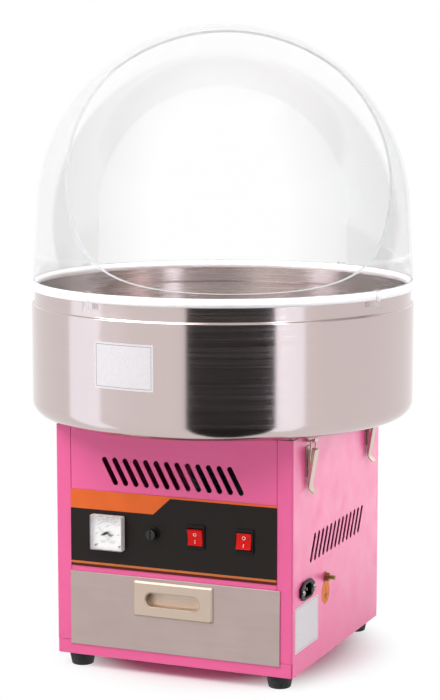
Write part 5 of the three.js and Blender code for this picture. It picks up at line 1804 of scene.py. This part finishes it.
@dataclass
class MainsEntry:
    """Mains inlet, earth screw and plain stickers on the right side panel."""

    wall: float = 166.5
    inlet_place: Point = (-121.0, 124.0)
    body: Point = (27.4, 20.4)
    ear: float = 11.3
    ear_height: float = 11.0
    lap: float = 1.8
    flange: float = 3.0
    socket_wall: float = 1.7
    socket_depth: float = 17.0
    socket_key: float = 4.0
    body_depth: float = 24.0
    earth_place: Point = (-48.0, 124.0)
    thread_count: int = 9
    thread_pitch: float = 0.8
    nut: float = 5.77
    sticker_place: Point = (-46.5, 103.0)
    sticker: float = 15.6
    label_place: Point = (-118.0, 77.3)
    label_size: Point = (86.0, 60.0)
    vinyl: Point = (0.02, 0.17)
    ink: Point = (0.18, 0.21)

    def holes(self) -> list[list[Point]]:
        """Outlines of the holes in the side panel."""
        w, h = self.body
        return [
            rectangle(w + 2 * SEAT_GAP, h + 2 * SEAT_GAP, *self.inlet_place),
            circle(3 + SEAT_GAP, *self.earth_place, 32),
        ]

    def build(self, screws: ScrewSet) -> None:
        """Builds the inlet, the earth screw and the stickers."""
        self.add_inlet(screws)
        self.add_earth()
        self.add_stickers()

    def add_inlet(self, screws: ScrewSet) -> None:
        """Black inlet with three nickel pins and two screws."""
        y, z = self.inlet_place
        w, h = self.body[0] / 2, self.body[1] / 2
        tall, low, ear = h + self.lap, self.ear_height / 2, w + self.ear
        face = self.wall + SEAT_GAP
        front = face + self.flange
        flange = [
            (y - ear, z - low), (y - w, z - tall), (y + w, z - tall), (y + ear, z - low),
            (y + ear, z + low), (y + w, z + tall), (y - w, z + tall), (y - ear, z + low),
        ]
        hw, hh, key = w - self.socket_wall, h - self.socket_wall, self.socket_key
        socket = [
            (y - hw, z - hh), (y + hw, z - hh), (y + hw, z + hh - key), (y + hw - key, z + hh),
            (y - hw + key, z + hh), (y - hw, z + hh - key),
        ]
        root = front - self.socket_depth
        body = rectangle(2 * w, 2 * h, y, z)
        piece("inlet_moulding", joined(
            plate(flange, face, front, Axis.X, [socket], 0.2, 0.7),
            plate(body, root, face, Axis.X, [socket]),
            plate(body, face - self.body_depth, root, Axis.X, (), 0.6, 0),
        ), BLACK_ABS, "power_inlet")
        pins = [
            plate(rectangle(2, 4, y + py, z + pz), root, root + 13, Axis.X, (), 0, 0.5)
            for py, pz in ((0, 2.9), (-7, -1.45), (7, -1.45))
        ]
        piece("inlet_pins", joined(*pins), NICKEL)
        points = [(front + 0.9, y + sign * (w + 6), z) for sign in (-1, 1)]
        screws.fix("inlet_screws", points, (3.3, 1.8), (0.0, math.pi / 2, 0.0), 5)

    def add_earth(self) -> None:
        """Brass earth screw with its washer and nut."""
        washer = arc((6.4, 0.9), 0.6, -90, 90, 4)
        profile = [(0, -9), (2.6, -9), (3, -8.6), (3, SEAT_GAP), *washer, (3, 1.5), (3, 6)]
        for i in range(self.thread_count):
            base = 6 + i * self.thread_pitch
            profile += [(2.55, base + 0.2), (3.0, base + 0.6)]
        profile += [(2.6, 13.6), (2.0, 14), (0, 14)]
        nut = plate(circle(self.nut, sides=6), 1.2, 6.2, Axis.Z, (), 0.3, 0.5)
        both = moved(joined(revolve(profile, 32), nut), (self.wall, *self.earth_place), 90, "Y")
        piece("earth_screw", both, BRASS, "earth_stud")

    def add_stickers(self) -> None:
        """Round orange sticker with the earth sign, and a blank white label with a printed border."""
        y, z = self.sticker_place
        vinyl, ink = ((self.wall + low, self.wall + high, Axis.X) for low, high in (self.vinyl, self.ink))
        piece("earth_sticker", plate(circle(self.sticker, y, z, 64), *vinyl), ORANGE_VINYL)
        stem = plate(rectangle(1.2, 11.0, y, z + 2.2), *ink)
        bars = [plate(rectangle(12.0 - 4.0 * i, 1.3, y, z - 3.4 - 2.5 * i), *ink) for i in range(3)]
        piece("earth_sign", joined(stem, *bars), BLACK_INK, slot_name="printed_sheet")
        y, z = self.label_place
        w, h = self.label_size
        piece("blank_side_label", plate(rounded(w, h, 2.5, y, z), *vinyl), WHITE_VINYL)
        border = plate(rounded(w - 4, h - 4, 1.8, y, z), *ink, [rounded(w - 5, h - 5, 1.5, y, z)])
        piece("side_label_border", border, GREY_INK, slot_name="printed_sheet")


@dataclass
class Bowl:
    """Spun stainless bowl with a rolled rim and a collar round the drive shaft."""

    base: float = 329.0
    radius: float = 256.0
    height: float = 180.0
    wall: float = 1.2
    corner: float = 20.0
    neck: float = 252.5
    shoulder: float = 148.0
    shoulder_rise: float = 2.2
    bead_centre: float = 254.2
    bead: float = 5.74
    collar: float = 20.0
    collar_height: float = 15.0
    label_angles: Point = (-16.4, 2.9)
    label_heights: Point = (391.0, 450.0)
    border_inset: float = 2.5
    border_line: float = 0.7
    vinyl: Point = (0.02, 0.15)
    ink: Point = (0.16, 0.19)

    def build(self) -> None:
        """Builds the bowl."""
        bead_z = self.height - 5.8
        flat = self.radius - self.corner
        step = self.shoulder + self.shoulder_rise
        foot = math.degrees(math.asin((self.bead_centre - self.neck) / self.bead))
        inner = math.degrees(math.asin((self.bead_centre - self.neck + self.wall) / self.bead))
        wall, r = self.wall, self.radius
        profile = [
            (self.collar, 0), (120, 0), *arc((flat, self.corner), self.corner, -90, 0, 14),
            (r, self.shoulder - 0.6), *arc((r - 0.8, self.shoulder), 0.8, 0, 60, 4),
            (self.neck + 0.5, step - 0.5), (self.neck, step + 0.3),
            *arc((self.bead_centre, bead_z), self.bead, -90 - foot, 270 - inner, 30),
            (self.neck - wall, step + 0.4), (self.neck - 0.7, step - 1.0),
            (r - wall - 0.5, self.shoulder + 0.4), (r - wall, self.shoulder - 0.8),
            *arc((flat, self.corner), self.corner - wall, 0, -90, 14),
            (120, wall), (self.collar + 3.2, wall), *arc((self.collar + 3.2, wall + 2), 2.0, -90, -180, 4),
            (self.collar + wall, self.collar_height - 0.4), (self.collar + wall - 0.4, self.collar_height),
            (self.collar + 0.4, self.collar_height), (self.collar, self.collar_height - 0.4),
        ]
        bowl = piece("spun_bowl", moved(revolve(profile, 240), (0, 0, self.base)), BOWL_STEEL, "bowl")
        refinished(bowl, INSIDE_STEEL, self.is_inside)
        refinished(bowl, RIM_PAINTED_HIGHLIGHT, self.is_rim)
        self.add_label()

    def is_inside(self, face: Face) -> bool:
        """Tells whether a face looks into the bowl."""
        out = Vector((face.center.x, face.center.y, 0.0)).normalized()
        return face.normal.dot(out) < -0.1 or face.normal.z > 0.5

    def is_rim(self, face: Face) -> bool:
        """Tells whether a face belongs to the rolled rim."""
        return face.center.z > (self.base + self.height - 2 * self.bead - 0.3) * MM

    def strip(self, angles: Point, heights: Point, skin: Point) -> Solid:
        """Thin strip bent round the bowl.

        Args:
            angles: Its left and right edge, in degrees from the front towards the right.
            heights: Its lower and upper edge.
            skin: Its inner and outer distance from the wall.

        Returns:
            The strip.
        """
        (inner, outer), (low, high) = skin, heights
        section = ((inner, low), (outer, low), (outer, high), (inner, high))
        solid = bmesh.new()
        rings = []
        for x, y in arc((0, 0), 1.0, angles[0] - 90, angles[1] - 90, 24):
            ring = [solid.verts.new(((self.radius + r) * x, (self.radius + r) * y, z)) for r, z in section]
            rings.append(ring)
        for near, far in zip(rings, rings[1:]):
            for k in range(4):
                solid.faces.new((near[k - 1], far[k - 1], far[k], near[k]))
        solid.faces.new(rings[0])
        solid.faces.new(rings[-1])
        bmesh.ops.recalc_face_normals(solid, faces=solid.faces)
        return solid

    def add_label(self) -> None:
        """Blank white label with a printed border."""
        piece("blank_bowl_label", self.strip(self.label_angles, self.label_heights, self.vinyl), WHITE_VINYL)
        edge, line = self.border_inset, self.border_line
        turn, width = math.degrees(edge / self.radius), math.degrees(line / self.radius)
        left, right = self.label_angles[0] + turn, self.label_angles[1] - turn
        low, high = self.label_heights[0] + edge, self.label_heights[1] - edge
        lines = [
            *(self.strip((left, right), (z, z + line), self.ink) for z in (low, high - line)),
            *(self.strip((a, a + width), (low + line, high - line), self.ink) for a in (left, right - width)),
        ]
        piece("bowl_label_border", joined(*lines), GREY_INK, slot_name="printed_sheet")


@dataclass
class Dome:
    """Blown acrylic cover with a cut-away mouth and four locating clips."""

    base: float = 509.3
    foot: float = 255.0
    skirt: float = 249.5
    skirt_height: float = 87.3
    crown: float = 250.5
    wall: float = 3.0
    turn: float = 26.5
    mouth_top: float = 68.0
    mouth_bend: Point = (68.0, 278.0)
    mouth_low: Point = (148.0, 83.0)
    mouth_curve: Point = (180.0, 17.0)
    mouth_foot: float = 5.0
    clip_width: float = 9.5
    clip_thickness: float = 2.1
    clip_drop: float = 21.0
    clip_rise: float = 3.0
    bead_edge: float = 260.0

    def build(self) -> None:
        """Builds the cover and its clips."""
        outer, inner = self.profile(0.0), self.profile(self.wall)[::-1]
        cover = placed("dome_cover", revolve([*outer, *inner], 180))
        cut(cover, plate(self.mouth(), -400, 400, Axis.X))
        softened(cover, 0.7)
        cover.data.transform(pose((0, 0, self.base * MM), self.turn))
        dressed(cover, DOME_ACRYLIC, "dome", "dome")
        refinished(cover, SANDED_ACRYLIC, self.is_edge)
        for number in range(4):
            self.add_clip(number)

    def is_edge(self, face: Face) -> bool:
        """Tells whether a face runs through the thickness of the cover."""
        middle = (self.base + self.skirt_height) * MM
        out = Vector((face.center.x, face.center.y, max(face.center.z - middle, 0.0))).normalized()
        return abs(face.normal.dot(out)) < 0.8

    def profile(self, inset: float) -> list[Point]:
        """Profile of the cover at a depth inside its outer face.

        Args:
            inset: The depth.

        Returns:
            Its points from the foot to the crown.
        """
        lean = self.skirt - self.foot
        rise = [(self.foot + lean * t / 6 - inset, self.skirt_height * t / 6) for t in range(6)]
        crown = [
            ((self.skirt - inset) * math.cos(a), self.skirt_height + (self.crown - inset) * math.sin(a))
            for a in (math.pi / 2 * i / 48 for i in range(48))
        ]
        return [*rise, *crown, (0, self.skirt_height + self.crown - inset)]

    def mouth(self) -> list[Point]:
        """Outline of the cut in front, from the side."""
        high, far = self.skirt_height + self.crown + 10, self.foot + 30
        start, control = Vector(self.mouth_low), Vector(self.mouth_curve)
        finish = Vector((self.foot + 1, self.mouth_foot))
        curve = [
            start * (1 - t) ** 2 + control * 2 * t * (1 - t) + finish * t**2
            for t in (i / 24 for i in range(1, 25))
        ]
        top = [(self.mouth_top, high), self.mouth_bend, self.mouth_low]
        return [(-y, z) for y, z in (*top, *curve, (far, self.mouth_foot), (far, high))]

    def add_clip(self, number: int) -> None:
        """Clear clip that hooks over the bowl's rim.

        Args:
            number: Its place round the cover.
        """
        t, low, half = self.clip_thickness, -self.clip_drop, self.clip_width / 2
        wall, edge = self.foot + SEAT_GAP, self.bead_edge + SEAT_GAP + t
        hook = [
            (wall, self.clip_rise), (wall + t, self.clip_rise), (wall + t, t), (edge, t), (edge, low),
            (edge - t, low), (edge - t, 0), (wall, 0),
        ]
        clip = plate(hook, -half, half, Axis.Y, (), 0.4, 0.4)
        moved(clip, (0, 0, self.base), self.turn + 45 + 90 * number)
        node = f"dome_clip_{number + 1}"
        piece(f"{node}_moulding", clip, ACRYLIC, node, "dome")


@dataclass
class ToggleLatch:
    """Plated toggle latch: base, channel lever, wire bail, and the catch on the bowl."""

    side: Side
    end: End
    wall: float = 166.5
    pivot_y: float = 118.0
    pivot_z: float = 303.0
    stand: float = 8.0
    wire: float = 1.1
    wire_bend: float = 1.6
    bail_half: float = 8.8
    bail_inset: float = 1.5
    bail_drop: float = 10.0
    bail_rise: float = 17.0
    bail_end: float = 6.0
    screw_out: float = 1.7
    screw_drop: float = 27.0

    def build(self, wires: BentWire, screws: ScrewSet) -> None:
        """Builds the latch.

        Args:
            wires: Tree that bends the bail.
            screws: Tree that sets the fixing screw's head.
        """
        label = f"{self.end.label}_{self.side.label}"
        for kind, body in (
            ("latch_base", "cabinet"), ("latch_lever", f"lever_{label}"), ("bowl_catch", "cabinet"),
        ):
            dressed(copied(f"{kind}_{label}", 0.25), LATCH_STEEL, f"{kind}_{label}", body)
        self.add_bail(label, wires)
        head = self.point(SEAT_GAP + self.screw_out, 0, -self.screw_drop)
        facing = (0.0, self.side.value * math.pi / 2, 0.0)
        screws.fix(f"latch_screw_{label}", [head], (2.3, 1.0), facing, 11)

    def point(self, out: float, across: float, up: float) -> Place:
        """Point measured outwards, across and up from the lever's pivot line on the wall."""
        x, y = self.side.value * (self.wall + out), self.end.value * self.pivot_y + across
        return (x, y, self.pivot_z + up)

    def add_bail(self, label: str, wires: BentWire) -> None:
        """Wire bail from the lever over the catch."""
        foot, head = (self.stand - self.bail_inset, -self.bail_drop), (self.stand, self.bail_rise)
        half, end = self.bail_half, self.bail_end
        line = bmesh.new()
        verts = [
            line.verts.new(self.point(out, across, up))
            for (out, up), across in (
                (foot, -end), (foot, -half), (head, -half), (head, half), (foot, half), (foot, end),
            )
        ]
        for pair in zip(verts, verts[1:]):
            line.edges.new(pair)
        sizes = {"Wire Radius": self.wire * MM, "Bend Radius": self.wire_bend * MM}
        bail = wires.grow(placed(f"bail_wire_{label}", line), LATCH_STEEL, sizes)
        dressed(bail, LATCH_STEEL, f"latch_bail_{label}", f"bail_{label}")


@dataclass
class Drive:
    """Motor on its bracket, with shaft, slip rings and brush block."""

    plate_z: float = 267.0
    motor_radius: float = 43.0
    motor_height: float = 98.0
    bell: float = 16.0
    boss: float = 15.0
    rib_count: int = 8
    shaft_radius: float = 6.0
    shaft_top: float = 376.7
    ring_radius: float = 16.0
    ring_bore: float = 6.3
    ring_z: float = 11.5
    ring_pitch: float = 16.0

    def build(self) -> None:
        """Builds the drive."""
        dressed(copied("motor_bracket", 0.4), DECK_STEEL, "motor_bracket")
        dressed(copied("brush_block", 0.4), BLACK_ABS, "brush_block")
        self.add_motor()
        self.add_shaft()

    def add_motor(self) -> None:
        """Enamelled motor with end bells and a ribbed middle."""
        r, low, high, boss = self.motor_radius, -self.motor_height - SEAT_GAP, -SEAT_GAP, self.boss
        rib, last = low + self.bell + 4, high - self.bell - 4
        step = (last - rib) / self.rib_count
        profile = [
            (0, low), (boss, low), (r - 4, low + 8), (r, low + 13), (r, rib - 4), (r, rib - 2), (r - 2, rib),
        ]
        for i in range(self.rib_count):
            a, b = rib + step * i, rib + step * (i + 1)
            profile += [(r - 2, a + 0.5), (r - 0.8, a + 1.2), (r - 0.8, b - 1.4), (r - 2, b - 0.7)]
        profile += [
            (r - 2, last), (r, last + 2), (r, high - 4), *arc((r - 4, high - 4), 4, 10, 90, 4),
            (boss, high), (boss, 1.6), (boss - 0.4, 2), (6.3, 2), (6.3, -14.3), (0, -14.3),
        ]
        piece("motor_shell", moved(revolve(profile, 72), (0, 0, self.plate_z)), MOTOR_ENAMEL, "motor")

    def add_shaft(self) -> None:
        """Steel shaft and two brass slip rings."""
        r, top, low = self.shaft_radius, self.shaft_top, self.plate_z - 14
        rod = [(0, low), (r - 0.5, low), (r, low + 0.5), (r, top - 0.5), (r - 0.5, top), (0, top)]
        piece("drive_shaft", revolve(rod, 48), SCREW_STEEL, "motor_shaft", "spinner", "stainless_spun")
        out, bore = self.ring_radius, self.ring_bore
        for i, level in enumerate(("lower", "upper")):
            z = self.plate_z + self.ring_z + self.ring_pitch * i
            top = z + 8
            ring = [
                (bore, z), (out - 0.5, z), (out, z + 0.5), (out, top - 0.5), (out - 0.5, top), (bore, top),
            ]
            piece(f"slip_ring_{level}_brass", revolve(ring, 64), BRASS, f"slip_ring_{level}", "spinner")


@dataclass
class SpinnerHead:
    """Turned head with a slotted ring, a zigzag heater and a cap with the sugar opening."""

    base_z: float = 365.0
    radius: float = 67.0
    disc: float = 2.5
    hub: float = 13.0
    ring_out: float = 65.0
    ring_wall: float = 1.5
    ring_height: float = 40.0
    slot_count: int = 20
    slot_width: float = 3.0
    slot_margin: float = 6.0
    heater_radius: float = 55.0
    heater_wave: float = 3.4 * 0.97
    heater_waves: int = 10
    heater_thickness: float = 1.4
    heater_height: float = 28.0
    ledge: float = 6.0
    neck: float = 27.0

    def build(self, cuts: RadialCut) -> None:
        """Builds the head.

        Args:
            cuts: Tree that cuts the ring's slots.
        """
        self.add_base()
        self.add_ring(cuts)
        self.add_heater()
        self.add_cap()

    def add_base(self) -> None:
        """Base dish with its hub and spreader cone."""
        land = self.ring_out - self.ring_wall - SEAT_GAP
        hub, disc, r, ledge = self.hub, self.disc, self.radius, self.ledge
        profile = [
            (0, 22), (2, 21.6), (hub, 15.3), (hub, disc + 0.8), (hub + 0.8, disc), (49, disc),
            (49, ledge - 0.3), (49.3, ledge), (land - 0.3, ledge), (land, ledge - 0.3), (land, disc),
            (r - 0.4, disc), (r, disc - 0.4), (r, 0.4), (r - 0.4, 0), (17, 0), (hub, -4),
            (hub, -13.6), (hub - 0.4, -14), (6.3, -14), (6.3, 12), (0, 12),
        ]
        base = moved(revolve(profile, 96), (0, 0, self.base_z))
        piece("head_base", base, TURNED_ALUMINIUM, "spinner_base", "spinner")

    def add_ring(self, cuts: RadialCut) -> None:
        """Slotted ring that throws the floss."""
        low = self.base_z + self.disc + SEAT_GAP
        high = low + self.ring_height
        outer, inner = self.ring_out, self.ring_out - self.ring_wall
        ring = placed("head_ring", revolve([(inner, low), (outer, low), (outer, high), (inner, high)], 120))
        cuts.grow(ring, TURNED_ALUMINIUM, {
            "Count": self.slot_count, "Radius": (outer - self.ring_wall / 2) * MM,
            "Block": (8 * MM, self.slot_width * MM, (self.ring_height - 2 * self.slot_margin) * MM),
            "Middle": (0.0, 0.0, (low + high) / 2 * MM),
        })
        dressed(softened(ring, 0.2), TURNED_ALUMINIUM, "spinner_ring", "spinner")

    def heater_side(self, offset: float) -> list[Point]:
        """One side of the ribbon, at a distance outside its middle."""
        count = self.heater_waves * 8
        points = []
        for i in range(count):
            angle = 2 * math.pi * i / count
            r = self.heater_radius + self.heater_wave * math.sin(self.heater_waves * angle) + offset
            points.append((r * math.cos(angle), r * math.sin(angle)))
        return points

    def add_heater(self) -> None:
        """Zigzag ribbon on the ledge of the base."""
        low, half = self.base_z + self.ledge + SEAT_GAP, self.heater_thickness / 2
        outer, inner = self.heater_side(half), self.heater_side(-half)
        ribbon = plate(outer, low, low + self.heater_height, Axis.Z, [inner], 0.2, 0.2)
        piece("heater_ribbon", ribbon, NICHROME, "heating_element", "spinner")

    def add_cap(self) -> None:
        """Cap with its neck for the sugar."""
        top = self.disc + SEAT_GAP + self.ring_height + SEAT_GAP
        skirt, neck, r = self.ring_out + SEAT_GAP, self.neck, self.radius
        profile = [
            (skirt, top - 6), (r, top - 6), (r, top + 1), (r - 1.2, top + 2.1), (neck + 3, top + 7.6),
            (neck + 2, top + 8.4), (neck + 2, top + 17.4), (neck + 1.5, top + 18), (neck + 0.5, top + 18),
            (neck, top + 17.4), (neck, top + 6), (61, top), (skirt, top),
        ]
        cap = moved(revolve(profile, 96), (0, 0, self.base_z))
        piece("head_cap", cap, TURNED_ALUMINIUM, "spinner_cap", "spinner")


def main() -> None:
    """Builds the studio and every sub-assembly, in order."""
    logging.basicConfig(level=logging.INFO, format="%(message)s")
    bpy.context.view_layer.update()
    studio = Studio()
    studio.build()
    slots, screws, cuts, wires = SlotRow(), ScrewSet(), RadialCut(), BentWire()
    panel = ControlPanel()
    entry = MainsEntry()
    Cabinet(side_holes=entry.holes(), front_holes=panel.holes()).build(slots, screws)
    panel.build(screws)
    Drawer().build()
    entry.build(screws)
    Bowl().build()
    Dome().build()
    for end in End:
        for side in Side:
            ToggleLatch(side, end).build(wires, screws)
    Drive().build()
    SpinnerHead().build(cuts)
    studio.aim_cards()


if __name__ == "__main__":
    main()
